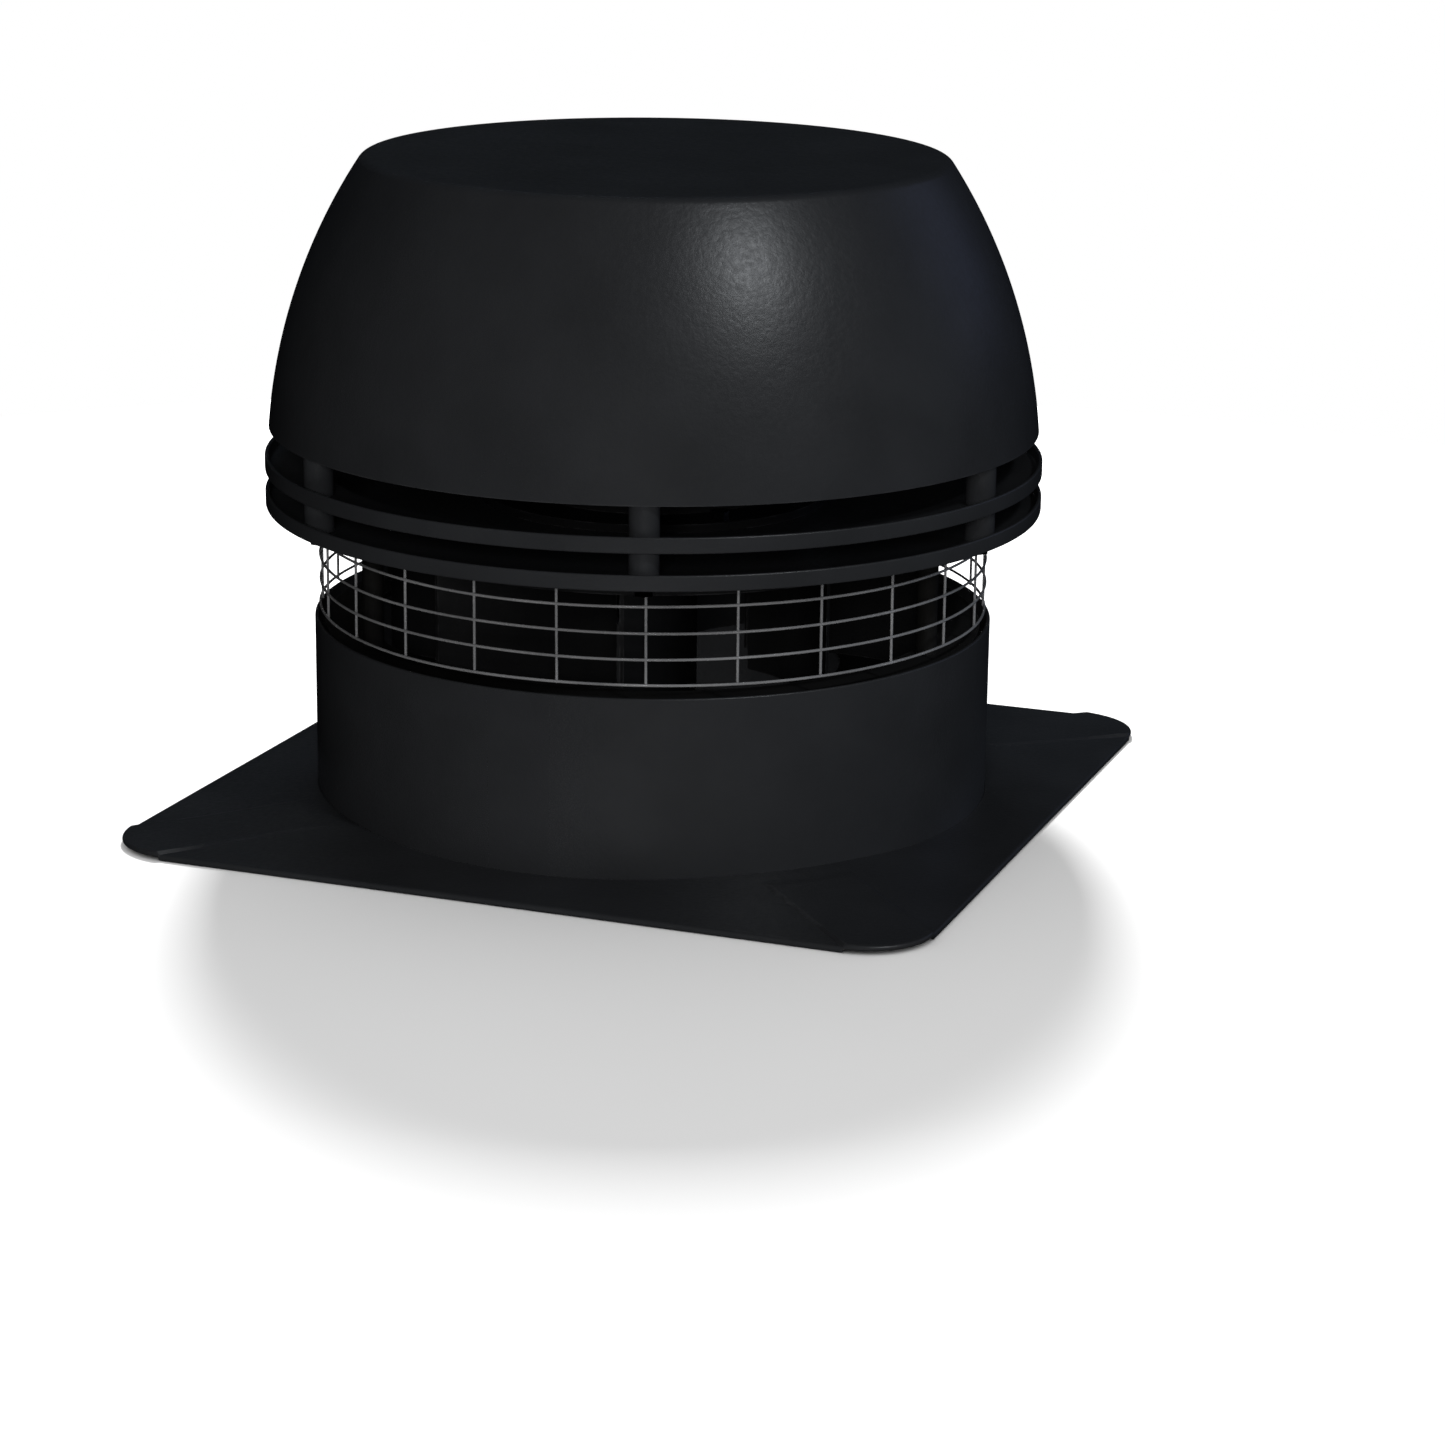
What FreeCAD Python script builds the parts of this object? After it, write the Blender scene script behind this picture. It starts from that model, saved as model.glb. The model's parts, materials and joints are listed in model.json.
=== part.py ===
import FreeCAD, Part
import os
import re
import Sketcher

# Electric chimney-top fan with sideways discharge.  The square plate lies on the chimney, the drum
# stands on it, and everything above the drum (wire guard, tray, louvre ring, motor, cover) is one
# head that swings back on a hinge so that the flue can be swept.
# Millimetres, +Z up.  The origin is the centre of the plate at its lowest edge.  Angles are counted
# about Z from +X.  The hinge and both thumb screws are on the rear half of the drum.

DRIVING_SIZES = (
    # base plate, cross-broken: four sides and four corner bands slope up to a flat middle
    ("plate_half", 200.0),
    ("plate_corner", 32.0),
    ("plate_slope_run", 64.0),
    ("plate_rise", 4.0),
    ("plate_sheet", 1.2),
    ("hem_depth", 3.0),
    ("hem_width", 12.0),
    ("hem_tuck", 0.6),
    ("plate_hole", 165.2),
    # inlet drum
    ("drum_radius", 165.0),
    ("drum_wall", 2.0),
    ("drum_top", 91.3),
    ("drum_flange", 180.0),
    ("drum_flange_sheet", 1.4),
    # sealing mat under the plate
    ("mat_half", 184.0),
    ("mat_hole", 150.0),
    ("mat_low", 0.3),
    ("mat_sheet", 1.2),
    # ring and legs that carry the head inside the drum
    ("ring_low", 85.0),
    ("ring_sheet", 3.0),
    ("ring_inner", 139.0),
    ("ring_outer", 160.0),
    ("ledge_inner", 150.0),
    ("ledge_width", 24.0),
    ("ledge_sheet", 4.0),
    ("ledge_first", 20.0),
    ("leg_circle", 146.0),
    ("leg_radius", 5.0),
    ("leg_swing", 64.0),
    ("leg_screw_radius", 3.0),
    ("leg_screw_bite", 12.0),
    ("screw_spare", 1.0),
    ("leg_head_radius", 5.6),
    ("screw_head_depth", 4.0),
    ("screw_gap", 0.2),
    # hinge behind the drum and the straps that step over its rim
    ("hinge_angle", 110.0),
    ("hinge_reach", 176.0),
    ("hinge_height", 94.0),
    ("hinge_pin_radius", 2.5),
    ("hinge_knuckle_radius", 5.0),
    ("hinge_width", 52.0),
    ("leaf_width", 26.0),
    ("knuckle_gap", 0.5),
    ("running_gap", 0.05),
    ("hinge_foot", 64.0),
    ("pin_length", 55.0),
    ("lug_foot_depth", 5.0),
    ("lug_back_drop", 8.0),
    ("lug_near_drop", 6.0),
    ("bracket_web", 4.0),
    ("bracket_gap_half", 20.0),
    ("strap_inner", 143.0),
    ("strap_outer", 159.0),
    ("strap_sheet", 2.0),
    ("rim_gap", 1.0),
    # thumb screws that hold the head down
    ("latch_swing", 46.0),
    ("latch_circle", 175.0),
    ("latch_width", 22.0),
    ("latch_reach", 184.0),
    ("latch_block_foot", 70.0),
    ("latch_block_gap", 0.3),
    ("latch_screw_radius", 3.0),
    ("latch_hole_half", 3.8),
    ("latch_bite", 6.0),
    ("latch_knob_radius", 8.0),
    ("latch_knob_depth", 8.0),
    ("latch_chamfer", 0.5),
    ("scallop_reach", 0.6),
    ("scallop_radius", 1.4),
    # wire guard
    ("wire_radius", 0.65),
    ("guard_radius", 162.4),
    ("guard_weld", 0.3),
    ("guard_first_ring", 96.85),
    ("guard_pitch", 12.15),
    ("guard_wire_angle", 14.62),
    ("guard_first_angle", -245.04),
    # tray, louvre ring and cover
    ("head_radius", 187.8),
    ("head_sheet", 2.0),
    ("tray_low", 146.7),
    ("tray_high", 154.1),
    ("louvre_low", 163.8),
    ("louvre_high", 171.3),
    ("louvre_inner", 160.0),
    ("cover_low", 184.8),
    ("cover_radius", 185.7),
    ("cover_top", 313.6),
    ("cover_bend", 269.9),
    ("cover_lean", 4.98),
    ("cover_shoulder", 6.0),
    ("cover_flange", 168.0),
    ("edge_round", 0.6),
    # six posts and the tie bolts through them
    ("post_circle", 177.0),
    ("post_radius", 7.0),
    ("post_first", -10.0),
    ("tie_radius", 2.5),
    ("tie_head_radius", 4.6),
    ("tie_head_depth", 4.0),
    # impeller
    ("shaft_radius", 7.5),
    ("stub_radius", 5.0),
    ("stub_low", 72.0),
    ("stub_chamfer", 1.0),
    ("shaft_rise", 0.5),
    ("hub_low", 88.0),
    ("hub_radius", 22.0),
    ("hub_flange_radius", 45.0),
    ("hub_flange_sheet", 3.0),
    ("hub_taper", 4.0),
    ("impeller_radius", 132.0),
    ("impeller_disc_low", 131.0),
    ("impeller_sheet", 2.0),
    ("blade_low", 66.0),
    ("blade_inner", 50.0),
    ("blade_outer", 130.0),
    ("blade_sweep", 30.0),
    ("blade_bend", 110.0),
    ("shroud_inner", 92.0),
    ("shroud_sheet", 1.5),
    ("nut_depth", 8.0),
    ("nut_radius", 9.2),
    ("washer_radius", 14.0),
    ("washer_sheet", 2.0),
    ("cooling_disc_radius", 60.0),
    ("cooling_disc_low", 139.5),
    ("cooling_collar", 14.0),
    # motor
    ("seal_radius", 16.0),
    ("shield_radius", 84.0),
    ("shield_sheet", 4.0),
    ("shield_bore", 12.0),
    ("boss_radius", 24.0),
    ("bearing_radius", 17.5),
    ("bearing_width", 11.0),
    ("bearing_groove", 0.8),
    ("bearing_fit", 0.03),
    ("race_width", 3.0),
    ("boss_lip", 1.0),
    ("housing_radius", 62.0),
    ("housing_wall", 6.0),
    ("housing_top", 232.0),
    ("fin_reach", 71.0),
    ("fin_sheet", 2.5),
    ("fin_margin", 6.0),
    ("fin_count", 24.0),
    ("core_low", 172.0),
    ("core_high", 214.0),
    ("stator_bore", 34.0),
    ("air_gap", 0.6),
    ("rotor_overlap", 1.0),
    ("soft_round", 2.0),
    ("winding_inner", 37.0),
    ("winding_outer", 53.0),
    ("winding_depth", 6.5),
    ("motor_screw_circle", 77.0),
    ("motor_screw_first", 45.0),
    ("motor_screw_radius", 2.5),
    ("motor_screw_head", 4.5),
    ("motor_nut_depth", 4.0),
    # electrical pieces on the tray
    ("box_reach", 128.0),
    ("box_width", 64.0),
    ("box_depth", 44.0),
    ("box_height", 31.0),
    ("box_wall", 2.5),
    ("lid_lip", 1.0),
    ("lid_sheet", 2.0),
    ("capacitor_reach", 120.0),
    ("capacitor_radius", 17.5),
    ("capacitor_height", 60.0),
    ("clip_sheet", 1.5),
    ("clip_depth", 14.0),
    ("gland_reach", 173.0),
    ("gland_radius", 9.0),
    ("gland_depth", 14.0),
    ("gland_thread_radius", 7.9),
    ("gland_bore", 4.0),
    ("gland_nut_radius", 12.0),
    ("gland_nut_depth", 4.0),
    ("gland_thread_end", 1.5),
    ("gland_taper", 2.0),
    # how far a cutting tool, or a screw at its nut, runs past a face
    ("overrun", 1.0),
)
ALIASES = [alias for alias, value in DRIVING_SIZES]

# How many there are of each repeated piece.
LEDGES = 4
POSTS = 6
MOTOR_SCREWS = 4
BLADES = 8
GUARD_RINGS = 5
GUARD_WIRES = 25
SCALLOPS = 10

# How closely an edge must match the circle it is looked up by.
SAME_CIRCLE = 0.05

# Heights that follow from the driving sizes.
SHEET_LOW = "(hem_depth - plate_sheet)"
SLOPE = "(plate_rise / plate_slope_run)"
TRAY_FLOOR = "(tray_low + head_sheet)"
RING_TOP = "(ring_low + ring_sheet)"
STRAP_LOW = "(drum_top + rim_gap)"
STRAP_TOP = "(drum_top + rim_gap + strap_sheet)"
SHIELD_TOP = "(tray_low + head_sheet + shield_sheet)"
COVER_CENTRE_R = "(cover_radius - cover_bend * cos(cover_lean))"
COVER_CENTRE_Z = "(cover_low - cover_bend * sin(cover_lean))"

doc = FreeCAD.newDocument("ChimneyFan")
sheet = doc.addObject("Spreadsheet::Sheet", "Sizes")
nodes = []


def fill_sheet():
    for row, (alias, value) in enumerate(DRIVING_SIZES, start=1):
        sheet.set(f"A{row}", alias)
        sheet.set(f"B{row}", str(value))
        sheet.setAlias(f"B{row}", alias)
    doc.recompute()


def linked(formula):
    """The formula with each size name pointing at its cell."""
    return re.sub(r"[a-z_]+", lambda word: "Sizes." + word.group() if word.group() in ALIASES
                  else word.group(), str(formula))


def number(formula):
    return float(sheet.evalExpression(linked(formula)))


def bind(thing, **formulas):
    for name, formula in formulas.items():
        thing.setExpression(name, linked(formula))
    return thing


def place(thing, x=None, y=None, z=None, angle=None):
    for path, formula in (("Base.x", x), ("Base.y", y), ("Base.z", z), ("Rotation.Angle", angle)):
        if formula is not None:
            thing.setExpression(".Placement." + path, linked(formula))
    return thing


def keep(thing):
    """Marks an object as a finished sub-part."""
    nodes.append(thing)
    return thing


# ---- sketches and features -------------------------------------------------------------------

def new_body(name):
    return doc.addObject("PartDesign::Body", name)


def new_sketch(body, name, role, height="0"):
    sketch = body.newObject("Sketcher::SketchObject", name)
    plane = next(item for item in body.Origin.OriginFeatures if item.Role == role)
    sketch.AttachmentSupport = [(plane, "")]
    sketch.MapMode = "FlatFace"
    sketch.setExpression("AttachmentOffset.Base.z", linked(height))
    return sketch


def fix_point(sketch, edge, vertex, x, y):
    for kind, formula, axis in (("DistanceX", x, -2), ("DistanceY", y, -1)):
        if formula == "0":
            sketch.addConstraint(Sketcher.Constraint("PointOnObject", edge, vertex, axis))
            continue
        made = sketch.addConstraint(Sketcher.Constraint(kind, -1, 1, edge, vertex, number(formula)))
        sketch.setExpression(f"Constraints[{made}]", linked(formula))


def arc_between(start, end, radius):
    """A counter-clockwise arc; a positive radius bulges to the right on the way from start to end."""
    if radius < 0:
        return arc_between(end, start, -radius)
    chord = end - start
    normal = FreeCAD.Vector(chord.y, -chord.x, 0).normalize()
    rise = radius - (radius ** 2 - (chord.Length / 2) ** 2) ** 0.5
    return Part.Arc(start, (start + end) * 0.5 + normal * rise, end)


def draw_outline(sketch, corners, bends=None):
    """A closed outline.  bends gives the radius of each edge that is an arc, by edge number."""
    bends = bends or {}
    first = sketch.GeometryCount
    points = [FreeCAD.Vector(number(x), number(y), 0) for x, y in corners]
    starts = []
    for index, start in enumerate(points):
        end = points[(index + 1) % len(points)]
        if index in bends:
            sketch.addGeometry(arc_between(start, end, number(bends[index])), False)
            starts.append(1 if number(bends[index]) > 0 else 2)
        else:
            sketch.addGeometry(Part.LineSegment(start, end), False)
            starts.append(1)
    for index in range(len(points)):
        following = (index + 1) % len(points)
        sketch.addConstraint(Sketcher.Constraint(
            "Coincident", first + index, 3 - starts[index], first + following, starts[following]))
    for index, (x, y) in enumerate(corners):
        fix_point(sketch, first + index, starts[index], x, y)
    for index, radius in bends.items():
        made = sketch.addConstraint(
            Sketcher.Constraint("Radius", first + index, abs(number(radius))))
        sketch.setExpression(f"Constraints[{made}]", f"abs({linked(radius)})")
    return sketch


def draw_circle(sketch, x, y, radius):
    edge = sketch.GeometryCount
    centre = FreeCAD.Vector(number(x), number(y), 0)
    sketch.addGeometry(Part.Circle(centre, FreeCAD.Vector(0, 0, 1), number(radius)), False)
    fix_point(sketch, edge, 3, x, y)
    made = sketch.addConstraint(Sketcher.Constraint("Radius", edge, number(radius)))
    sketch.setExpression(f"Constraints[{made}]", linked(radius))
    return sketch


def rectangle(low_x, high_x, low_y, high_y):
    return [(low_x, low_y), (high_x, low_y), (high_x, high_y), (low_x, high_y)]


def revolve(body, corners, bends=None, kind="PartDesign::Revolution", part="section"):
    """Turns an outline of (radius, height) points about Z, to add or, as a groove, to take away."""
    sketch = draw_outline(new_sketch(body, f"{body.Name}_{part}", "XZ_Plane"), corners, bends)
    feature = body.newObject(kind, f"{body.Name}_{part}_turned")
    feature.Profile = sketch
    feature.ReferenceAxis = (sketch, ["V_Axis"])
    feature.Angle = 360
    return feature


def pad(body, sketch, length, both_ways=False):
    feature = body.newObject("PartDesign::Pad", sketch.Name + "_pad")
    feature.Profile = sketch
    bind(feature, Length=length)
    if both_ways:
        feature.SideType = "Symmetric"
    return feature


def cut_through(body, sketch):
    feature = body.newObject("PartDesign::Pocket", sketch.Name + "_cut")
    feature.Profile = sketch
    feature.Type = "ThroughAll"
    feature.SideType = "Symmetric"
    return feature


def cut_both_ways(body, sketch, length):
    feature = body.newObject("PartDesign::Pocket", sketch.Name + "_cut")
    feature.Profile = sketch
    feature.SideType = "Symmetric"
    bind(feature, Length=length)
    return feature


def repeat_round(body, feature, sketch, count):
    pattern = body.newObject("PartDesign::PolarPattern", feature.Name + "_round")
    pattern.Originals = [feature]
    pattern.Axis = (sketch, ["N_Axis"])
    pattern.Angle = 360
    pattern.Occurrences = count
    body.Tip = pattern
    return pattern


def drill_round(body, name, circle, radius, first, count, height="0", depth=None):
    """A ring of holes along Z: right through, or only depth either way from a height."""
    sketch = new_sketch(body, body.Name + "_" + name, "XY_Plane", height)
    draw_circle(sketch, f"{circle} * cos({first})", f"{circle} * sin({first})", radius)
    hole = cut_both_ways(body, sketch, f"2 * {depth}") if depth else cut_through(body, sketch)
    repeat_round(body, hole, sketch, count)


def edges_at(shape, radius, height):
    """Names of the full circles of this radius at this height."""
    return [f"Edge{number_of}" for number_of, edge in enumerate(shape.Edges, start=1)
            if edge.isClosed() and hasattr(edge.Curve, "Radius")
            and abs(edge.Curve.Radius - radius) < SAME_CIRCLE
            and abs(edge.Curve.Center.z - height) < SAME_CIRCLE]


def round_edges(body, name, circles, radius):
    """Fillets full circles, given as (radius, height) pairs."""
    doc.recompute()
    base = body.Tip
    names = []
    for circle_radius, height in circles:
        names += edges_at(base.Shape, number(circle_radius), number(height))
    feature = body.newObject("PartDesign::Fillet", body.Name + "_" + name)
    feature.Base = (base, names)
    bind(feature, Radius=radius)
    return feature


# ---- primitives and groups -------------------------------------------------------------------

def cylinder(name, radius, low, high, x="0", y="0"):
    made = doc.addObject("Part::Cylinder", name)
    bind(made, Radius=radius, Height=f"({high}) - ({low})")
    return place(made, x=x, y=y, z=low)


def hexagon(name, radius, low, high, x="0", y="0"):
    made = doc.addObject("Part::Prism", name)
    made.Polygon = 6
    bind(made, Circumradius=radius, Height=f"({high}) - ({low})")
    return place(made, x=x, y=y, z=low)


def box(name, low_x, high_x, low_y, high_y, low_z, high_z):
    made = doc.addObject("Part::Box", name)
    bind(made, Length=f"({high_x}) - ({low_x})", Width=f"({high_y}) - ({low_y})",
         Height=f"({high_z}) - ({low_z})")
    return place(made, x=low_x, y=low_y, z=low_z)


def fuse(name, *shapes):
    made = doc.addObject("Part::MultiFuse", name)
    made.Shapes = list(shapes)
    return made


def cut(name, base, tool):
    made = doc.addObject("Part::Cut", name)
    made.Base = base
    made.Tool = tool
    return made


def group(name, shapes):
    made = doc.addObject("Part::Compound", name)
    made.Links = shapes
    return made


def turned_copies(seed, count, first, step=None):
    """Copies of a seed turned about Z: evenly right round, unless a step is given."""
    step = step or f"360 / {count}"
    copies = []
    for index in range(count):
        copy = doc.addObject("App::Link", f"{seed.Name}_{index + 1}")
        copy.LinkedObject = seed
        copy.LinkTransform = True
        copies.append(place(copy, angle=f"{first} + {index} * {step}"))
    return copies


# ---- base: what stays on the chimney -----------------------------------------------------------

def plate_octagon(inset):
    """The square with cut corners at a given distance in from its sides."""
    side = f"(plate_half - {inset})"
    cut_side = f"(plate_half - plate_corner - {inset})"
    signs = ((1, 1), (-1, 1), (-1, -1), (1, -1))
    corners = []
    for along_x, along_y in signs:
        pair = [(f"{along_x} * {side}", f"{along_y} * {cut_side}"),
                (f"{along_x} * {cut_side}", f"{along_y} * {side}")]
        corners += pair if along_x == along_y else pair[::-1]
    return corners


def plate_loft(body, kind, name, low):
    """The sloping part of the plate, as a solid to add or to take away."""
    outer = draw_outline(new_sketch(body, name + "_outer", "XY_Plane", low), plate_octagon("0"))
    inner = draw_outline(new_sketch(body, name + "_inner", "XY_Plane", f"{low} + plate_rise"),
                         plate_octagon("plate_slope_run"))
    loft = body.newObject(kind, name)
    loft.Profile = outer
    loft.Sections = [inner]
    loft.Ruled = True
    return loft


def make_base_plate():
    body = new_body("base_plate")
    corner_bends = {edge: "plate_corner" for edge in (0, 2, 4, 6)}
    edge = new_sketch(body, "plate_edge", "XY_Plane", SHEET_LOW)
    pad(body, draw_outline(edge, plate_octagon("0"), corner_bends), "plate_sheet")
    plate_loft(body, "PartDesign::AdditiveLoft", "plate_slopes", "hem_depth")
    plate_loft(body, "PartDesign::SubtractiveLoft", "plate_underside", SHEET_LOW)
    hem = new_sketch(body, "plate_hem", "XY_Plane")
    straight = "(plate_half - plate_corner)"
    inside = "(plate_half - hem_width)"
    for low, high in (("-plate_half", f"-{inside}"), (inside, "plate_half")):
        draw_outline(hem, rectangle(f"-{straight}", straight, low, high))
        draw_outline(hem, rectangle(low, high, f"-{straight}", straight))
    pad(body, hem, f"{SHEET_LOW} + hem_tuck")
    hole = draw_circle(new_sketch(body, "plate_opening", "XY_Plane"), "0", "0", "plate_hole")
    cut_through(body, hole)
    keep(body)


def make_inlet_drum():
    body = new_body("inlet_drum")
    inner = "drum_radius - drum_wall"
    flange_top = f"({SHEET_LOW} + {SLOPE} * (plate_half - drum_flange))"
    flange_low = f"({flange_top} - drum_flange_sheet)"
    revolve(body, [(inner, flange_low), ("drum_flange", flange_low), ("drum_flange", flange_top),
                   ("drum_radius", flange_top), ("drum_radius", "drum_top"), (inner, "drum_top")])
    round_edges(body, "rim", [("drum_radius", "drum_top"), (inner, "drum_top")], "edge_round")
    keep(body)


def make_sealing_mat():
    top = "mat_low + mat_sheet"
    square = box("mat_square", "-mat_half", "mat_half", "-mat_half", "mat_half", "mat_low", top)
    keep(cut("sealing_mat", square, cylinder("mat_hole_tool", "mat_hole", "0", f"{top} + overrun")))


def make_rest_ledges():
    """Four blocks welded inside the drum; the ring of the head sits on them."""
    seed = new_body("ledge")
    plan = new_sketch(seed, "ledge_plan", "XY_Plane", "ring_low - ledge_sheet")
    half = "(ledge_width / 2)"
    wall = "(drum_radius - drum_wall)"
    reach = f"sqrt({wall} ^ 2 - {half} ^ 2)"
    draw_outline(plan, rectangle("ledge_inner", reach, f"-{half}", half), {1: wall})
    pad(seed, plan, "ledge_sheet")
    keep(group("rest_ledges", turned_copies(seed, LEDGES, "ledge_first")))


def drum_side(body):
    """Hollows a block so that it lies against the outside of the drum."""
    sketch = draw_circle(new_sketch(body, body.Name + "_drum", "XY_Plane"), "0", "0",
                         "drum_radius + running_gap")
    cut_through(body, sketch)


def pin_hole(body, radius):
    sketch = draw_circle(new_sketch(body, body.Name + "_bore", "XZ_Plane"),
                         "hinge_reach", "hinge_height", radius)
    cut_through(body, sketch)


def make_hinge_bracket():
    body = new_body("hinge_bracket")
    near = "(drum_radius - drum_wall)"
    back = "(hinge_reach + hinge_knuckle_radius)"
    lugs = new_sketch(body, "bracket_side", "XZ_Plane")
    draw_outline(lugs, [(near, "hinge_foot"), ("drum_radius + lug_foot_depth", "hinge_foot"),
                        (back, "hinge_height - lug_back_drop"), (back, "hinge_height"),
                        ("hinge_reach", "hinge_height + hinge_knuckle_radius"),
                        ("hinge_reach - hinge_knuckle_radius", "hinge_height"),
                        (near, "hinge_height - lug_near_drop")],
                 {3: "hinge_knuckle_radius", 4: "hinge_knuckle_radius"})
    pad(body, lugs, "hinge_width", both_ways=True)
    middle = new_sketch(body, "bracket_gap", "XZ_Plane")
    clear = "(hinge_height - hinge_knuckle_radius - knuckle_gap)"
    past = f"({back} + overrun)"
    foot = "(hinge_height - bracket_gap_half)"
    top = "(hinge_height + bracket_gap_half)"
    draw_outline(middle, [(near, clear), ("drum_radius + bracket_web", clear),
                          ("drum_radius + bracket_web", foot), (past, foot), (past, top),
                          (near, top)])
    cut_both_ways(body, middle, "leaf_width + 2 * knuckle_gap")
    drum_side(body)
    pin_hole(body, "hinge_pin_radius")
    keep(place(body, angle="hinge_angle"))


def make_hinge_pin():
    body = new_body("hinge_pin")
    sketch = draw_circle(new_sketch(body, "pin_shank", "XZ_Plane"),
                         "hinge_reach", "hinge_height", "hinge_pin_radius")
    pad(body, sketch, "pin_length", both_ways=True)
    keep(place(body, angle="hinge_angle"))


def make_latch_brackets():
    """Two blocks on the drum that the thumb screws reach into."""
    seed = new_body("latch_block")
    top = "(drum_top + rim_gap - latch_block_gap)"
    plan = new_sketch(seed, "block_plan", "XY_Plane", "latch_block_foot")
    half = "(latch_width / 2)"
    draw_outline(plan, rectangle("drum_radius - drum_wall", "latch_reach", f"-{half}", half))
    pad(seed, plan, f"{top} - latch_block_foot")
    drum_side(seed)
    hole = draw_outline(new_sketch(seed, "block_hole", "XY_Plane"),
                        rectangle("latch_circle - latch_hole_half", "latch_circle + latch_hole_half",
                                  "-latch_hole_half", "latch_hole_half"))
    cut_through(seed, hole)
    first = "hinge_angle - latch_swing"
    keep(group("latch_brackets", turned_copies(seed, 2, first, "2 * latch_swing")))


# ---- head: the ring, legs and straps inside the drum -------------------------------------------

# The legs are two pairs, each of one leg beside the hinge and the leg opposite it.
LEG_PAIRS = {"right": "hinge_angle - leg_swing", "left": "hinge_angle + leg_swing"}


def drill_legs(body):
    for side, first in LEG_PAIRS.items():
        drill_round(body, f"{side}_legs", "leg_circle", "leg_screw_radius + screw_gap", first, 2)


def copies_at_legs(seed):
    return [copy for first in LEG_PAIRS.values() for copy in turned_copies(seed, 2, first, "180")]


def make_swing_ring():
    body = new_body("swing_ring")
    revolve(body, rectangle("ring_inner", "ring_outer", "ring_low", RING_TOP))
    drill_legs(body)
    keep(body)


def make_support_legs():
    seed = new_body("leg")
    hole = "leg_screw_radius"
    revolve(seed, [("0", f"{RING_TOP} + leg_screw_bite"), (hole, f"{RING_TOP} + leg_screw_bite"),
                   (hole, RING_TOP), ("leg_radius", RING_TOP), ("leg_radius", "tray_low"),
                   (hole, "tray_low"), (hole, "tray_low - leg_screw_bite"),
                   ("0", "tray_low - leg_screw_bite")])
    place(seed, x="leg_circle")
    keep(group("support_legs", copies_at_legs(seed)))


def make_leg_screws():
    bite = "(leg_screw_bite - screw_spare)"
    lower = fuse("leg_screw_lower",
                 cylinder("lower_shank", "leg_screw_radius", "ring_low - overrun",
                          f"({RING_TOP} + {bite})", x="leg_circle"),
                 hexagon("lower_head", "leg_head_radius", "ring_low - screw_head_depth", "ring_low",
                         x="leg_circle"))
    upper = fuse("leg_screw_upper",
                 cylinder("upper_shank", "leg_screw_radius", f"(tray_low - {bite})",
                          f"({TRAY_FLOOR} + overrun)", x="leg_circle"),
                 hexagon("upper_head", "leg_head_radius", TRAY_FLOOR,
                         f"({TRAY_FLOOR} + screw_head_depth)", x="leg_circle"))
    keep(group("leg_screws", copies_at_legs(lower) + copies_at_legs(upper)))


def strap_corners(reach):
    """Side view of a strap that lies on the ring, rises and steps over the rim of the drum."""
    flat = f"({RING_TOP} + strap_sheet)"
    riser = "(strap_outer - strap_sheet)"
    return [("strap_inner", RING_TOP), ("strap_outer", RING_TOP), ("strap_outer", STRAP_LOW),
            (reach, STRAP_LOW), (reach, STRAP_TOP), (riser, STRAP_TOP), (riser, flat),
            ("strap_inner", flat)]


def make_hinge_leaf():
    body = new_body("hinge_leaf")
    strap = draw_outline(new_sketch(body, "leaf_strap", "XZ_Plane"), strap_corners("hinge_reach"))
    pad(body, strap, "leaf_width", both_ways=True)
    knuckle = draw_circle(new_sketch(body, "leaf_knuckle", "XZ_Plane"), "hinge_reach",
                          "hinge_height", "hinge_knuckle_radius")
    pad(body, knuckle, "leaf_width", both_ways=True)
    pin_hole(body, "hinge_pin_radius + running_gap")
    keep(place(body, angle="hinge_angle"))


def make_latch_straps():
    seed = new_body("latch_strap")
    strap = draw_outline(new_sketch(seed, "latch_side", "XZ_Plane"), strap_corners("latch_reach"))
    pad(seed, strap, "latch_width", both_ways=True)
    hole = draw_circle(new_sketch(seed, "latch_strap_hole", "XY_Plane"), "latch_circle", "0",
                       "latch_screw_radius + running_gap")
    cut_through(seed, hole)
    first = "hinge_angle - latch_swing"
    keep(group("latch_straps", turned_copies(seed, 2, first, "2 * latch_swing")))


def make_latch_screw(name, side):
    body = new_body(name)
    tip = "(drum_top + rim_gap - latch_block_gap - latch_bite)"
    revolve(body, [("0", tip), ("latch_screw_radius - latch_chamfer", tip),
                   ("latch_screw_radius", f"{tip} + latch_chamfer"),
                   ("latch_screw_radius", STRAP_TOP),
                   ("latch_knob_radius", STRAP_TOP),
                   ("latch_knob_radius", f"{STRAP_TOP} + latch_knob_depth"),
                   ("0", f"{STRAP_TOP} + latch_knob_depth")])
    groove = new_sketch(body, name + "_grip", "XY_Plane", STRAP_TOP)
    draw_circle(groove, "latch_knob_radius + scallop_reach", "0", "scallop_radius")
    scallop = body.newObject("PartDesign::Pocket", name + "_scallop")
    scallop.Profile = groove
    scallop.Reversed = True
    bind(scallop, Length="latch_knob_depth")
    repeat_round(body, scallop, groove, SCALLOPS)
    swing = f"(hinge_angle + {side} * latch_swing)"
    keep(place(body, x=f"latch_circle * cos{swing}", y=f"latch_circle * sin{swing}"))


# ---- head: wire guard, tray, louvre ring, cover --------------------------------------------------

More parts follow.
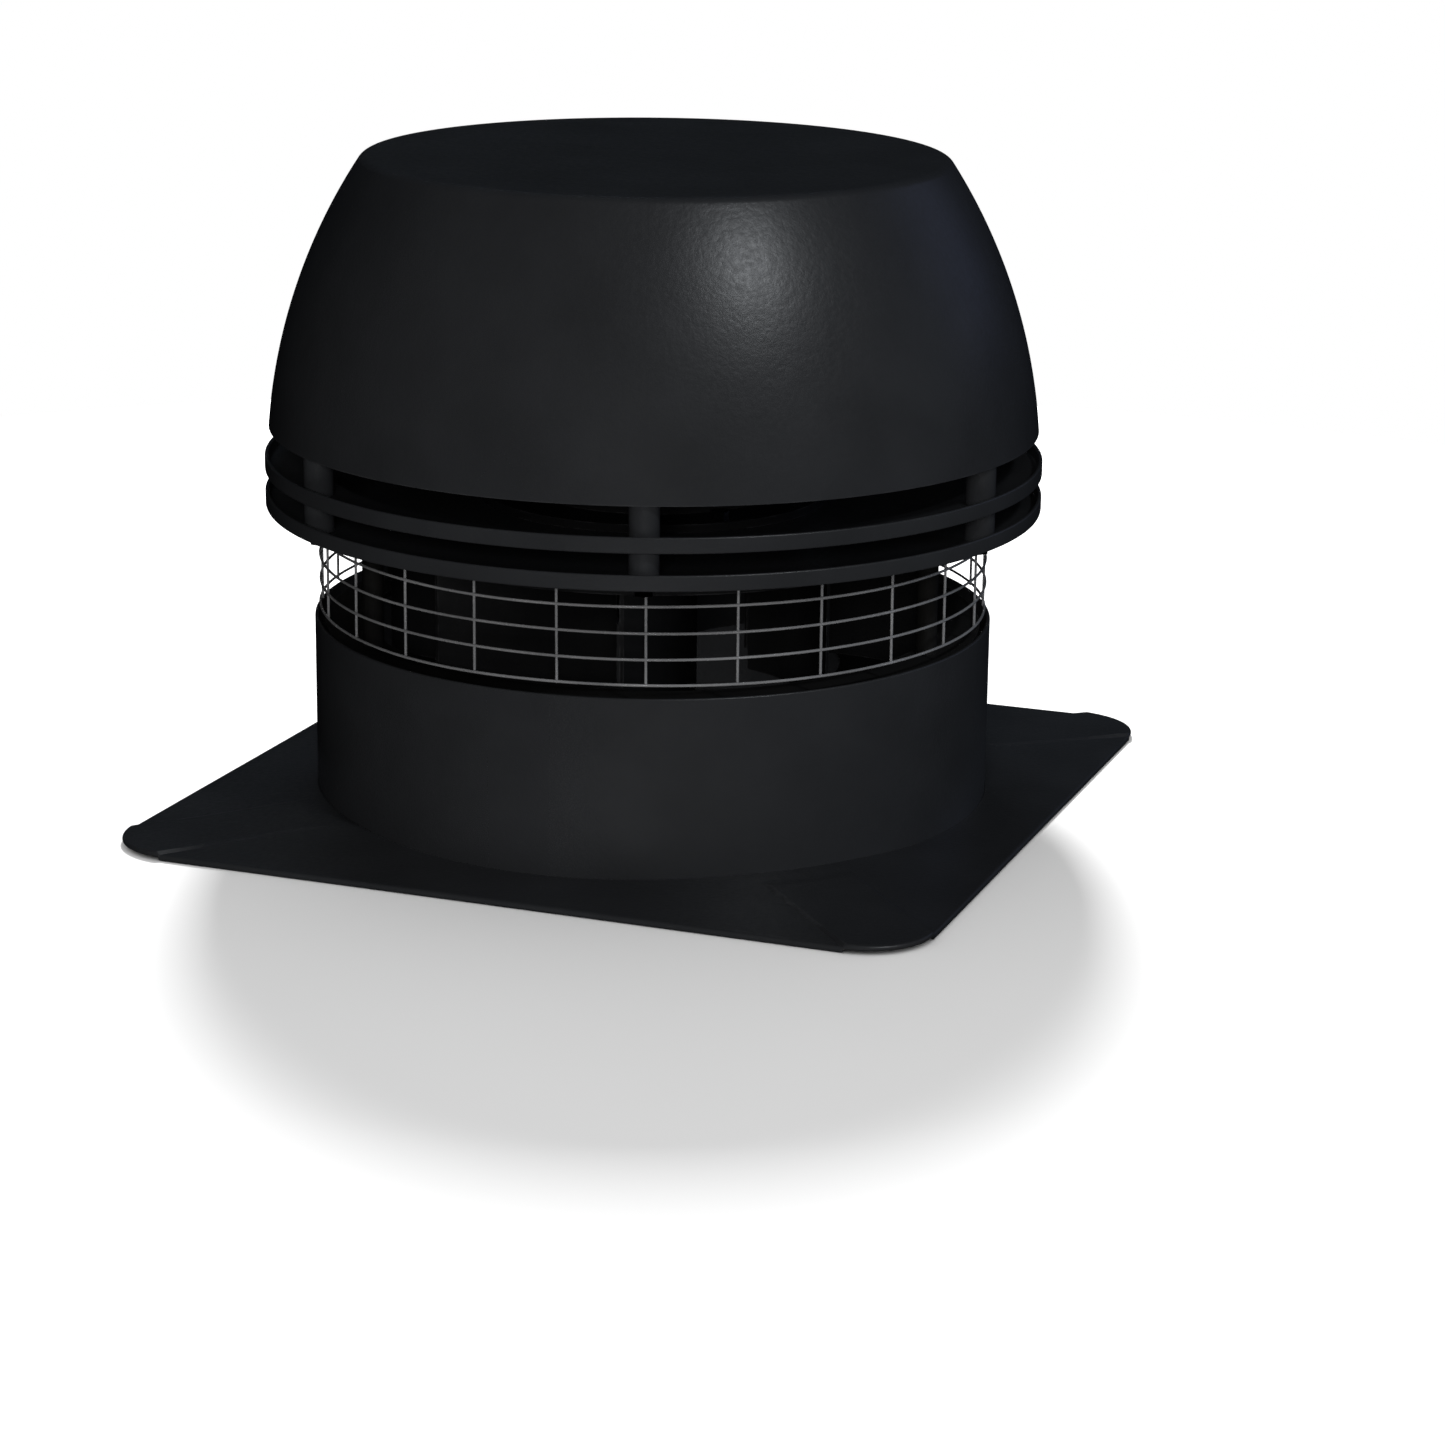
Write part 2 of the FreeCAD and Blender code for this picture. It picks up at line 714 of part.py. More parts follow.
def make_bird_guard():
    upright_circle = "(guard_radius - 2 * wire_radius + guard_weld)"
    seed = cylinder("guard_upright", "wire_radius", "(guard_first_ring - wire_radius)", "tray_low",
                    x=upright_circle)
    wires = turned_copies(seed, GUARD_WIRES, "guard_first_angle", "guard_wire_angle")
    for index in range(GUARD_RINGS):
        ring = doc.addObject("Part::Torus", f"guard_ring_{index + 1}")
        bind(ring, Radius1="guard_radius", Radius2="wire_radius")
        wires.append(place(ring, z=f"guard_first_ring + {index} * guard_pitch"))
    keep(fuse("bird_guard", *wires))


def make_motor_tray():
    body = new_body("motor_tray")
    inner = "(head_radius - head_sheet)"
    revolve(body, [("seal_radius", "tray_low"), ("head_radius", "tray_low"),
                   ("head_radius", "tray_high"), (inner, "tray_high"), (inner, TRAY_FLOOR),
                   ("seal_radius", TRAY_FLOOR)])
    round_edges(body, "lip", [("head_radius", "tray_low"), ("head_radius", "tray_high"),
                              (inner, "tray_high")], "edge_round")
    drill_round(body, "tie", "post_circle", "tie_radius + screw_gap", "post_first", POSTS)
    drill_legs(body)
    drill_round(body, "motor", "motor_screw_circle", "motor_screw_radius + screw_gap",
                "motor_screw_first", MOTOR_SCREWS)
    gland = new_sketch(body, "tray_gland_hole", "XY_Plane")
    draw_circle(gland, "0", "gland_reach", "gland_thread_radius + screw_gap")
    cut_through(body, gland)
    keep(body)


def make_louvre_ring():
    body = new_body("louvre_ring")
    inner = "(head_radius - head_sheet)"
    floor = "(louvre_low + head_sheet)"
    revolve(body, [("louvre_inner", "louvre_low"), ("head_radius", "louvre_low"),
                   ("head_radius", "louvre_high"), (inner, "louvre_high"), (inner, floor),
                   ("louvre_inner", floor)])
    round_edges(body, "lip", [("head_radius", "louvre_low"), ("head_radius", "louvre_high"),
                              (inner, "louvre_high")], "edge_round")
    drill_round(body, "tie", "post_circle", "tie_radius + screw_gap", "post_first", POSTS)
    keep(body)


def cover_radius_at(height, bend):
    return f"({COVER_CENTRE_R} + sqrt({bend} ^ 2 - ({height} - {COVER_CENTRE_Z}) ^ 2))"


def make_top_cover():
    """A spun dome with a flat top and a turned-in flange at its mouth."""
    body = new_body("top_cover")
    thin = "(cover_bend - head_sheet)"
    flange_top = "(cover_low + head_sheet)"
    inner_top = "(cover_top - head_sheet)"
    revolve(body, [("0", "cover_low"), ("cover_radius", "cover_low"),
                   (cover_radius_at("cover_top", "cover_bend"), "cover_top"), ("0", "cover_top")],
            {1: "cover_bend"})
    revolve(body, [("0", "cover_low"), ("cover_flange", "cover_low"), ("cover_flange", flange_top),
                   (cover_radius_at(flange_top, thin), flange_top),
                   (cover_radius_at(inner_top, thin), inner_top), ("0", inner_top)],
            {3: thin}, kind="PartDesign::Groove", part="hollow")
    round_edges(body, "shoulder", [(cover_radius_at("cover_top", "cover_bend"), "cover_top")],
                "cover_shoulder")
    round_edges(body, "shoulder_inside", [(cover_radius_at(inner_top, thin), inner_top)],
                "cover_shoulder - head_sheet")
    round_edges(body, "mouth", [("cover_radius", "cover_low")], "edge_round")
    drill_round(body, "tie", "post_circle", "tie_radius + screw_gap", "post_first", POSTS,
                height="cover_low", depth="(head_sheet + overrun)")
    keep(body)


def make_posts(name, low, high):
    """Six spacer tubes round the edge."""
    seed = new_body(name + "_tube")
    revolve(seed, rectangle("tie_radius + screw_gap", "post_radius", low, high))
    place(seed, x="post_circle")
    keep(group(name, turned_copies(seed, POSTS, "post_first")))


def make_tie_bolts():
    top = "(cover_low + head_sheet + tie_head_depth + overrun)"
    seed = fuse("tie_bolt",
                cylinder("tie_shank", "tie_radius", "(tray_low - overrun)", top, x="post_circle"),
                hexagon("tie_head", "tie_head_radius", "(tray_low - tie_head_depth)", "tray_low",
                        x="post_circle"))
    keep(group("tie_bolts", turned_copies(seed, POSTS, "post_first")))


def make_tie_nuts():
    low = "(cover_low + head_sheet)"
    high = "(cover_low + head_sheet + tie_head_depth)"
    blank = hexagon("tie_nut_blank", "tie_head_radius", low, high, x="post_circle")
    seed = cut("tie_nut", blank, cylinder("tie_nut_bore", "tie_radius", f"({low} - overrun)",
                                          f"({high} + overrun)", x="post_circle"))
    keep(group("tie_nuts", turned_copies(seed, POSTS, "post_first")))


# ---- head: motor ------------------------------------------------------------------------------

def make_lower_end_shield():
    body = new_body("lower_end_shield")
    boss_top = f"({SHIELD_TOP} + bearing_width + boss_lip)"
    revolve(body, [("shield_bore", TRAY_FLOOR), ("shield_radius", TRAY_FLOOR),
                   ("shield_radius", SHIELD_TOP), ("boss_radius", SHIELD_TOP),
                   ("boss_radius", boss_top), ("bearing_radius", boss_top),
                   ("bearing_radius", SHIELD_TOP), ("shield_bore", SHIELD_TOP)])
    drill_round(body, "screws", "motor_screw_circle", "motor_screw_radius + screw_gap",
                "motor_screw_first", MOTOR_SCREWS)
    keep(body)


def make_motor_housing():
    body = new_body("motor_housing")
    revolve(body, rectangle("housing_radius - housing_wall", "housing_radius", SHIELD_TOP,
                            "housing_top"))
    half = "(fin_sheet / 2)"
    fin = new_sketch(body, "fin_plan", "XY_Plane", f"{SHIELD_TOP} + fin_margin")
    draw_outline(fin, rectangle("housing_radius - overrun", "fin_reach", f"-{half}", half))
    blade = pad(body, fin, f"housing_top - {SHIELD_TOP} - 2 * fin_margin")
    repeat_round(body, blade, fin, int(number("fin_count")))
    keep(body)


def make_upper_end_shield():
    body = new_body("upper_end_shield")
    boss_low = "(housing_top - bearing_width)"
    pocket_top = "(housing_top + boss_lip)"
    cap_top = "(housing_top + housing_wall)"
    revolve(body, [("0", pocket_top), ("bearing_radius", pocket_top), ("bearing_radius", boss_low),
                   ("boss_radius", boss_low), ("boss_radius", "housing_top"),
                   ("housing_radius", "housing_top"), ("housing_radius", cap_top), ("0", cap_top)])
    round_edges(body, "rim", [("housing_radius", cap_top)], "soft_round")
    keep(body)


def make_bearing(name, low):
    """A deep-groove bearing as one ring, with the groove between its races on both faces."""
    body = new_body(name)
    bore = "(shaft_radius + bearing_fit)"
    high = f"({low} + bearing_width)"
    shallow = "bearing_groove"
    inner_race = "(shaft_radius + race_width)"
    outer_race = "(bearing_radius - race_width)"
    revolve(body, [(bore, low), (inner_race, low), (inner_race, f"{low} + {shallow}"),
                   (outer_race, f"{low} + {shallow}"), (outer_race, low), ("bearing_radius", low),
                   ("bearing_radius", high), (outer_race, high),
                   (outer_race, f"{high} - {shallow}"), (inner_race, f"{high} - {shallow}"),
                   (inner_race, high), (bore, high)])
    keep(body)


def make_stator_core():
    body = new_body("stator_core")
    revolve(body, rectangle("stator_bore", "housing_radius - housing_wall", "core_low",
                            "core_high"))
    keep(body)


def make_stator_windings():
    """The two end turns of the copper, one above and one below the iron."""
    coils = []
    for name, low in (("lower_coil", "core_low - winding_depth"), ("upper_coil", "core_high")):
        coil = new_body(name)
        revolve(coil, rectangle("winding_inner", "winding_outer", f"{low}",
                                f"{low} + winding_depth"))
        round_edges(coil, "soft", [("winding_inner", f"{low}"), ("winding_outer", f"{low}"),
                                   ("winding_inner", f"{low} + winding_depth"),
                                   ("winding_outer", f"{low} + winding_depth")], "soft_round")
        coils.append(coil)
    keep(group("stator_windings", coils))


def make_shaft_seal():
    body = new_body("shaft_seal")
    revolve(body, rectangle("shaft_radius + running_gap", "seal_radius", "tray_low", TRAY_FLOOR))
    keep(body)


def make_motor_screws():
    low = "(tray_low - motor_nut_depth - overrun)"
    seed = fuse("motor_screw",
                cylinder("motor_shank", "motor_screw_radius", low,
                         f"({SHIELD_TOP} + overrun)", x="motor_screw_circle"),
                hexagon("motor_head", "motor_screw_head", SHIELD_TOP,
                        f"({SHIELD_TOP} + screw_head_depth)", x="motor_screw_circle"))
    keep(group("motor_screws", turned_copies(seed, MOTOR_SCREWS, "motor_screw_first")))


def make_motor_nuts():
    low = "(tray_low - motor_nut_depth)"
    blank = hexagon("motor_nut_blank", "motor_screw_head", low, "tray_low", x="motor_screw_circle")
    seed = cut("motor_nut", blank, cylinder("motor_nut_bore", "motor_screw_radius",
                                            f"({low} - overrun)", "(tray_low + overrun)",
                                            x="motor_screw_circle"))
    keep(group("motor_nuts", turned_copies(seed, MOTOR_SCREWS, "motor_screw_first")))


def make_terminal_box():
    half = "(box_width / 2)"
    near = "(box_reach - box_depth / 2)"
    far = "(box_reach + box_depth / 2)"
    top = f"({TRAY_FLOOR} + box_height)"
    shell = box("box_block", f"-{half}", half, near, far, TRAY_FLOOR, top)
    hollow = box("box_hollow", f"(box_wall - {half})", f"({half} - box_wall)",
                 f"({near} + box_wall)", f"({far} - box_wall)", f"({TRAY_FLOOR} + box_wall)",
                 f"({top} + overrun)")
    keep(cut("terminal_box", shell, hollow))
    lid = box("terminal_lid", f"(-{half} - lid_lip)", f"({half} + lid_lip)",
              f"({near} - lid_lip)", f"({far} + lid_lip)", top, f"({top} + lid_sheet)")
    keep(lid)


def make_capacitor():
    low = f"({TRAY_FLOOR} + clip_sheet)"
    body = new_body("run_capacitor")
    revolve(body, rectangle("0", "capacitor_radius", low, f"{low} + capacitor_height"))
    round_edges(body, "rim", [("capacitor_radius", f"{low} + capacitor_height")], "soft_round")
    keep(place(body, x="-capacitor_reach"))
    clip = new_body("capacitor_clip")
    outer = "(capacitor_radius + clip_sheet)"
    revolve(clip, [("0", TRAY_FLOOR), (outer, TRAY_FLOOR), (outer, f"{low} + clip_depth"),
                   ("capacitor_radius", f"{low} + clip_depth"), ("capacitor_radius", low),
                   ("0", low)])
    keep(place(clip, x="-capacitor_reach"))


def make_cable_gland():
    """The way in for the supply cable, through the floor of the tray behind the guard."""
    body = new_body("cable_gland")
    low = "(tray_low - gland_depth)"
    high = f"({TRAY_FLOOR} + gland_nut_depth + gland_thread_end)"
    revolve(body, [("gland_bore", low), ("gland_radius - gland_taper", low),
                   ("gland_radius", f"{low} + 2 * gland_taper"),
                   ("gland_radius", "tray_low"), ("gland_thread_radius", "tray_low"),
                   ("gland_thread_radius", high), ("gland_bore", high)])
    keep(place(body, y="gland_reach"))
    low_nut = TRAY_FLOOR
    high_nut = f"({TRAY_FLOOR} + gland_nut_depth)"
    blank = hexagon("gland_nut_blank", "gland_nut_radius", low_nut, high_nut, y="gland_reach")
    bore = cylinder("gland_nut_bore", "gland_thread_radius", f"({low_nut} - overrun)",
                    f"({high_nut} + overrun)", y="gland_reach")
    keep(cut("gland_nut", blank, bore))


# ---- rotor: what spins ------------------------------------------------------------------------

def make_motor_shaft():
    body = new_body("motor_shaft")
    top = "(housing_top + shaft_rise)"
    revolve(body, [("0", "stub_low"), ("stub_radius - stub_chamfer", "stub_low"),
                   ("stub_radius", "stub_low + stub_chamfer"), ("stub_radius", "hub_low"),
                   ("shaft_radius", "hub_low"), ("shaft_radius", top), ("0", top)])
    keep(body)


def make_rotor_core():
    body = new_body("rotor_core")
    revolve(body, rectangle("shaft_radius", "stator_bore - air_gap", "core_low - rotor_overlap",
                            "core_high + rotor_overlap"))
    keep(body)


def make_cooling_disc():
    """A small disc on a collar that throws hot gas away from the shaft seal."""
    body = new_body("cooling_disc")
    collar_low = "(impeller_disc_low + impeller_sheet)"
    high = "(cooling_disc_low + impeller_sheet)"
    revolve(body, [("shaft_radius", collar_low), ("cooling_collar", collar_low),
                   ("cooling_collar", "cooling_disc_low"),
                   ("cooling_disc_radius", "cooling_disc_low"), ("cooling_disc_radius", high),
                   ("shaft_radius", high)])
    keep(body)


def make_impeller_hub():
    body = new_body("impeller_hub")
    flange = "(impeller_disc_low - hub_flange_sheet)"
    revolve(body, [("shaft_radius", "hub_low"), ("hub_radius - hub_taper", "hub_low"),
                   ("hub_radius", f"{flange} - 2 * hub_taper"), ("hub_radius", flange),
                   ("hub_flange_radius", flange), ("hub_flange_radius", "impeller_disc_low"),
                   ("shaft_radius", "impeller_disc_low")])
    keep(body)


def make_impeller_disc():
    body = new_body("impeller_disc")
    revolve(body, rectangle("shaft_radius", "impeller_radius", "impeller_disc_low",
                            "impeller_disc_low + impeller_sheet"))
    keep(body)


def make_impeller_shroud():
    body = new_body("impeller_shroud")
    revolve(body, rectangle("shroud_inner", "blade_outer", "blade_low - shroud_sheet", "blade_low"))
    keep(body)


def make_impeller_blades():
    """Eight backward-curved blades between the disc and the shroud."""
    seed = new_body("blade")
    plan = new_sketch(seed, "blade_plan", "XY_Plane", "blade_low")
    half = "(impeller_sheet / 2)"
    along = "cos(blade_sweep)"
    across = "sin(blade_sweep)"
    draw_outline(plan, [
        ("blade_inner", f"-{half}"),
        (f"blade_outer * {along} - {half} * {across}", f"-blade_outer * {across} - {half} * {along}"),
        (f"blade_outer * {along} + {half} * {across}", f"-blade_outer * {across} + {half} * {along}"),
        ("blade_inner", half)], {0: "-blade_bend", 2: "blade_bend"})
    pad(seed, plan, "impeller_disc_low - blade_low")
    keep(group("impeller_blades", turned_copies(seed, BLADES, "0")))


def make_impeller_fixings():
    washer_low = "(hub_low - washer_sheet)"
    washer = new_body("impeller_washer")
    revolve(washer, rectangle("stub_radius", "washer_radius", washer_low, "hub_low"))
    keep(washer)
    nut_low = f"({washer_low} - nut_depth)"
    blank = hexagon("impeller_nut_blank", "nut_radius", nut_low, washer_low)
    bore = cylinder("impeller_nut_bore", "stub_radius", f"({nut_low} - overrun)",
                    f"({washer_low} + overrun)")
    keep(cut("impeller_nut", blank, bore))


def make_base():
    make_base_plate()
    make_inlet_drum()
    make_sealing_mat()
    make_rest_ledges()
    make_hinge_bracket()
    make_hinge_pin()
    make_latch_brackets()


def make_head():
    make_swing_ring()
    make_support_legs()
    make_leg_screws()
    make_hinge_leaf()
    make_latch_straps()
    make_bird_guard()
    make_motor_tray()
    make_louvre_ring()
    make_top_cover()
    make_posts("lower_posts", TRAY_FLOOR, "louvre_low")
    make_posts("upper_posts", "(louvre_low + head_sheet)", "cover_low")
    make_tie_bolts()
    make_tie_nuts()


def make_motor():
    make_lower_end_shield()
    make_motor_housing()
    make_upper_end_shield()
    make_bearing("lower_bearing", SHIELD_TOP)
    make_bearing("upper_bearing", "(housing_top - bearing_width)")
    make_stator_core()
    make_stator_windings()
    make_shaft_seal()
    make_motor_screws()
    make_motor_nuts()
    make_terminal_box()
    make_capacitor()
    make_cable_gland()


def make_rotor():
    make_motor_shaft()
    make_rotor_core()
    make_cooling_disc()
    make_impeller_hub()
    make_impeller_disc()
    make_impeller_blades()
    make_impeller_shroud()
    make_impeller_fixings()


def check_all():
    for item in doc.Objects:
        faults = [state for state in item.State if state in ("Invalid", "Error")]
        if faults:
            raise RuntimeError(f"{item.Name}: {faults}")
    for node in nodes:
        if node.Shape.isNull() or not node.Shape.isValid() or not node.Shape.Solids:
            raise RuntimeError(f"{node.Label} has no valid solid")


def write_parts():
    os.makedirs("parts", exist_ok=True)
    for node in nodes:
        node.Shape.exportStep(f"parts/{node.Label}.step")
        box_of = node.Shape.BoundBox
        print(f"{node.Label}: {len(node.Shape.Solids)} solids, {node.Shape.Volume / 1000:.1f} cm3, "
              f"z {box_of.ZMin:.2f} to {box_of.ZMax:.2f}")


fill_sheet()
make_base()
make_head()
make_motor()
make_rotor()
make_latch_screw("latch_screw_left", 1)
make_latch_screw("latch_screw_right", -1)
doc.recompute()
check_all()
write_parts()
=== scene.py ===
import json
import math
import random

import bpy
from mathutils import Matrix, Vector


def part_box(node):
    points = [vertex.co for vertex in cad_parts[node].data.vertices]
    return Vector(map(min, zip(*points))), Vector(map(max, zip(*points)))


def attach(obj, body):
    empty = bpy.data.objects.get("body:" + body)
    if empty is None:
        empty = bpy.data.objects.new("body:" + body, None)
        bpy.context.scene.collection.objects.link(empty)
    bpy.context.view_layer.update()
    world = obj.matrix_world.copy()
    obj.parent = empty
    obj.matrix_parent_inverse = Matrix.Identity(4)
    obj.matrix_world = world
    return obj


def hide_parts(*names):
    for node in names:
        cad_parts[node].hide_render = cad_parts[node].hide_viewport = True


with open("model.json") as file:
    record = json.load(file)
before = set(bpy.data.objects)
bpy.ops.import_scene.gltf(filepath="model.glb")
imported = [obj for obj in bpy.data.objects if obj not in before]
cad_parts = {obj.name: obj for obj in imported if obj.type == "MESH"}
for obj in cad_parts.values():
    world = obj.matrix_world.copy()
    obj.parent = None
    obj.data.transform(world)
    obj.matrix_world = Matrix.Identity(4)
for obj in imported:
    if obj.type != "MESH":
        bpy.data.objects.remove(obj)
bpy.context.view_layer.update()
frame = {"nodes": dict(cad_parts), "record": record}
nodes = frame["nodes"]

# Metres, in the frame's own axes.  Heights and reaches come from the frame; the sizes below are the
# ones a box can't give.
MM = 0.001
FULL_TURN = 2 * math.pi
QUARTER_TURN = math.pi / 2
UP = Vector((0, 0, 1))
SHARP_ANGLE = math.radians(35)   # faces that meet at more than this keep a crisp edge

SHEET = 2.0 * MM
LIP_ROUND = 0.9 * MM
DRUM_RADIUS = 165.0 * MM
DRUM_FLANGE = 1.4 * MM           # thickness of the flange at the foot of the drum
TRAY_HOLE = 16.0 * MM            # radius
LOUVRE_HOLE = 160.0 * MM         # radius

COVER_BEND = 269.9 * MM
COVER_LEAN = math.radians(4.98)
COVER_SHOULDER = 6.0 * MM
COVER_RETURN = 17.7 * MM         # how far the mouth is turned in

PLATE_CORNER = 32.0 * MM
PLATE_SHEET = 1.2 * MM
PLATE_RISE = 4.0 * MM
PLATE_SLOPE_RUN = 64.0 * MM
PLATE_THINNEST = 0.2 * MM
HOLE_GAP = 0.2 * MM              # between the plate's opening and the drum
HEM_DEPTH = 3.0 * MM
HEM_WIDTH = 12.0 * MM
CORNER_HEM_WIDTH = 3.0 * MM
CORNER_STEP = 0.7 * MM
CORNER_LIFT = 1.5 * MM
CORNER_LIP = 2.9 * MM

POST_CIRCLE = 177.0 * MM
POST_RADIUS = 7.0 * MM
POST_BORE = 2.0 * MM
POST_ROUND = 0.5 * MM
POST_FIRST = math.radians(-10)
POST_COUNT = 6

WIRE_RADIUS = 0.65 * MM
GUARD_RADIUS = 162.4 * MM
UPRIGHT_RADIUS = 161.4 * MM
GUARD_PITCH = 12.15 * MM
GUARD_RINGS = 5
GUARD_UPRIGHTS = 25
GUARD_WIRE_ANGLE = math.radians(14.62)
GUARD_MIDDLE = math.radians(-69.6)

plate_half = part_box("base_plate")[1].x
drum_low, drum_top = (corner.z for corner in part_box("inlet_drum"))
drum_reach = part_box("inlet_drum")[1].x
head_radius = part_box("motor_tray")[1].x
tray_low, tray_top = (corner.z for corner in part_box("motor_tray"))
louvre_low, louvre_top = (corner.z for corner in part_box("louvre_ring"))
cover_low, cover_top = (corner.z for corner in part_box("top_cover"))
cover_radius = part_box("top_cover")[1].x
guard_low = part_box("bird_guard")[0].z + WIRE_RADIUS


# ---- mesh helpers ------------------------------------------------------------------------------

LATHE_STEPS = 256
EDGE_SHARE = 0.45                # the most of an edge that one rounded corner may take up
LEVEL_ENOUGH = 0.5               # level part of a wire's direction, below which it counts as upright


def add_mesh(name, points, faces, smooth=True):
    mesh = bpy.data.meshes.new(name)
    mesh.from_pydata([tuple(p) for p in points], [], faces)
    mesh.validate()
    mesh.update()
    piece = bpy.data.objects.new(name, mesh)
    bpy.context.scene.collection.objects.link(piece)
    for face in mesh.polygons:
        face.use_smooth = smooth
    if smooth:
        mesh.set_sharp_from_angle(angle=SHARP_ANGLE)
    return piece


def grid_faces(rows, columns, wrap_rows=False, wrap_columns=True):
    """Quads over a grid of points stored row by row."""
    faces = []
    for row in range(rows if wrap_rows else rows - 1):
        upper = (row + 1) % rows
        for column in range(columns if wrap_columns else columns - 1):
            right = (column + 1) % columns
            faces.append((row * columns + column, row * columns + right,
                          upper * columns + right, upper * columns + column))
    return faces


def arc(centre, radius, start, end, steps):
    """Points (r, z) on an arc, angles in radians from the outward direction."""
    return [(centre[0] + radius * math.cos(start + (end - start) * i / steps),
             centre[1] + radius * math.sin(start + (end - start) * i / steps))
            for i in range(steps + 1)]


def rounded(outline, radius, steps=4):
    """The closed outline with every corner rounded as far as its edges allow."""
    result = []
    for i, corner in enumerate(outline):
        here = Vector(corner)
        before = Vector(outline[i - 1]) - here
        after = Vector(outline[(i + 1) % len(outline)]) - here
        reach = min(radius, EDGE_SHARE * before.length, EDGE_SHARE * after.length)
        first = here + before.normalized() * reach
        last = here + after.normalized() * reach
        for k in range(steps + 1):
            t = k / steps
            result.append(tuple(first * (1 - t) ** 2 + here * 2 * t * (1 - t) + last * t ** 2))
    return result


def lathe(name, outline, steps=LATHE_STEPS):
    """A closed outline of (r, z) points turned about Z.  A point on the axis becomes one vertex."""
    points, rows = [], []
    for r, z in outline:
        count = 1 if r == 0 else steps
        rows.append([len(points) + (i if count > 1 else 0) for i in range(steps)])
        points += [(r * math.cos(FULL_TURN * i / steps), r * math.sin(FULL_TURN * i / steps), z)
                   for i in range(count)]
    faces = []
    for row, lower in enumerate(rows):
        upper = rows[(row + 1) % len(rows)]
        for i in range(steps):
            k = (i + 1) % steps
            corners = [lower[i], lower[k], upper[k], upper[i]]
            face = [v for n, v in enumerate(corners) if v not in corners[:n]]
            if len(face) > 2:
                faces.append(face)
    return add_mesh(name, points, faces)


def tube(path, radius, sides, closed=False):
    """Points and faces of a round wire along a path, level or upright, capped where it is open."""
    points = []
    count = len(path)
    for i, here in enumerate(path):
        ahead = path[(i + 1) % count] if closed or i + 1 < count else here
        behind = path[i - 1] if closed or i > 0 else here
        along = (ahead - behind).normalized()
        level_side = along.cross(UP)
        is_level = level_side.length > LEVEL_ENOUGH
        side = (level_side if is_level else Vector((here.x, here.y, 0))).normalized()
        top = side.cross(along)
        for k in range(sides):
            turn = FULL_TURN * k / sides
            points.append(here + (side * math.cos(turn) + top * math.sin(turn)) * radius)
    faces = grid_faces(count, sides, wrap_rows=closed)
    if not closed:
        faces.append(tuple(range(sides))[::-1])
        faces.append(tuple((count - 1) * sides + k for k in range(sides)))
    return points, faces


def join_parts(name, parts):
    """One mesh from several (points, faces) pairs."""
    all_points, all_faces = [], []
    for points, faces in parts:
        shift = len(all_points)
        all_points += points
        all_faces += [tuple(v + shift for v in face) for face in faces]
    return add_mesh(name, all_points, all_faces)


# ---- material helpers --------------------------------------------------------------------------

CLOUD_RANGE = (0.3, 0.7)         # the part of soft noise that runs from the dark to the light colour
STRIPE_RANGE = (0.1, 0.9)        # the same for the bands of a wave texture
BEVEL_SAMPLES = 4
WEAR_STARTS = 0.985              # likeness of the real and the rounded normal at which wear begins
WEAR_FULL = 0.88                 # and at which it is complete
PATCH_SCALE = 75
PATCH_RANGE = (0.44, 0.62)       # the part of the noise that runs from untouched to rubbed


def node_material(name):
    """A new material, its tree and shader, and the texture place that its noises share."""
    material = bpy.data.materials.new(name)
    material.use_nodes = True
    tree = material.node_tree
    shader = tree.nodes["Principled BSDF"]
    place = tree.nodes.new("ShaderNodeTexCoord").outputs["Object"]
    return material, tree, shader, place


def noise(tree, place, scale, detail=2.0, roughness=0.5, stretch=None):
    if stretch:
        mapping = tree.nodes.new("ShaderNodeMapping")
        mapping.inputs["Scale"].default_value = stretch
        tree.links.new(place, mapping.inputs["Vector"])
        place = mapping.outputs["Vector"]
    texture = tree.nodes.new("ShaderNodeTexNoise")
    texture.inputs["Scale"].default_value = scale
    texture.inputs["Detail"].default_value = detail
    texture.inputs["Roughness"].default_value = roughness
    tree.links.new(place, texture.inputs["Vector"])
    return texture.outputs["Fac"]


def ramp(tree, value, limits, dark, light):
    """Maps a value between the two limits onto two colours."""
    colours = tree.nodes.new("ShaderNodeValToRGB")
    for stop, position, colour in zip(colours.color_ramp.elements, limits, (dark, light)):
        stop.position = position
        stop.color = (*colour, 1)
    tree.links.new(value, colours.inputs["Fac"])
    return colours.outputs["Color"]


def spread(tree, value, low, high):
    """Maps 0..1 onto low..high."""
    mapped = tree.nodes.new("ShaderNodeMapRange")
    mapped.inputs["To Min"].default_value = low
    mapped.inputs["To Max"].default_value = high
    tree.links.new(value, mapped.inputs["Value"])
    return mapped.outputs["Result"]


def bump(tree, shader, heights):
    """Stacks bumps, given as (value, strength, depth)."""
    normal = None
    for value, strength, depth in heights:
        node = tree.nodes.new("ShaderNodeBump")
        node.inputs["Strength"].default_value = strength
        node.inputs["Distance"].default_value = depth
        tree.links.new(value, node.inputs["Height"])
        if normal:
            tree.links.new(normal, node.inputs["Normal"])
        normal = node.outputs["Normal"]
    tree.links.new(normal, shader.inputs["Normal"])


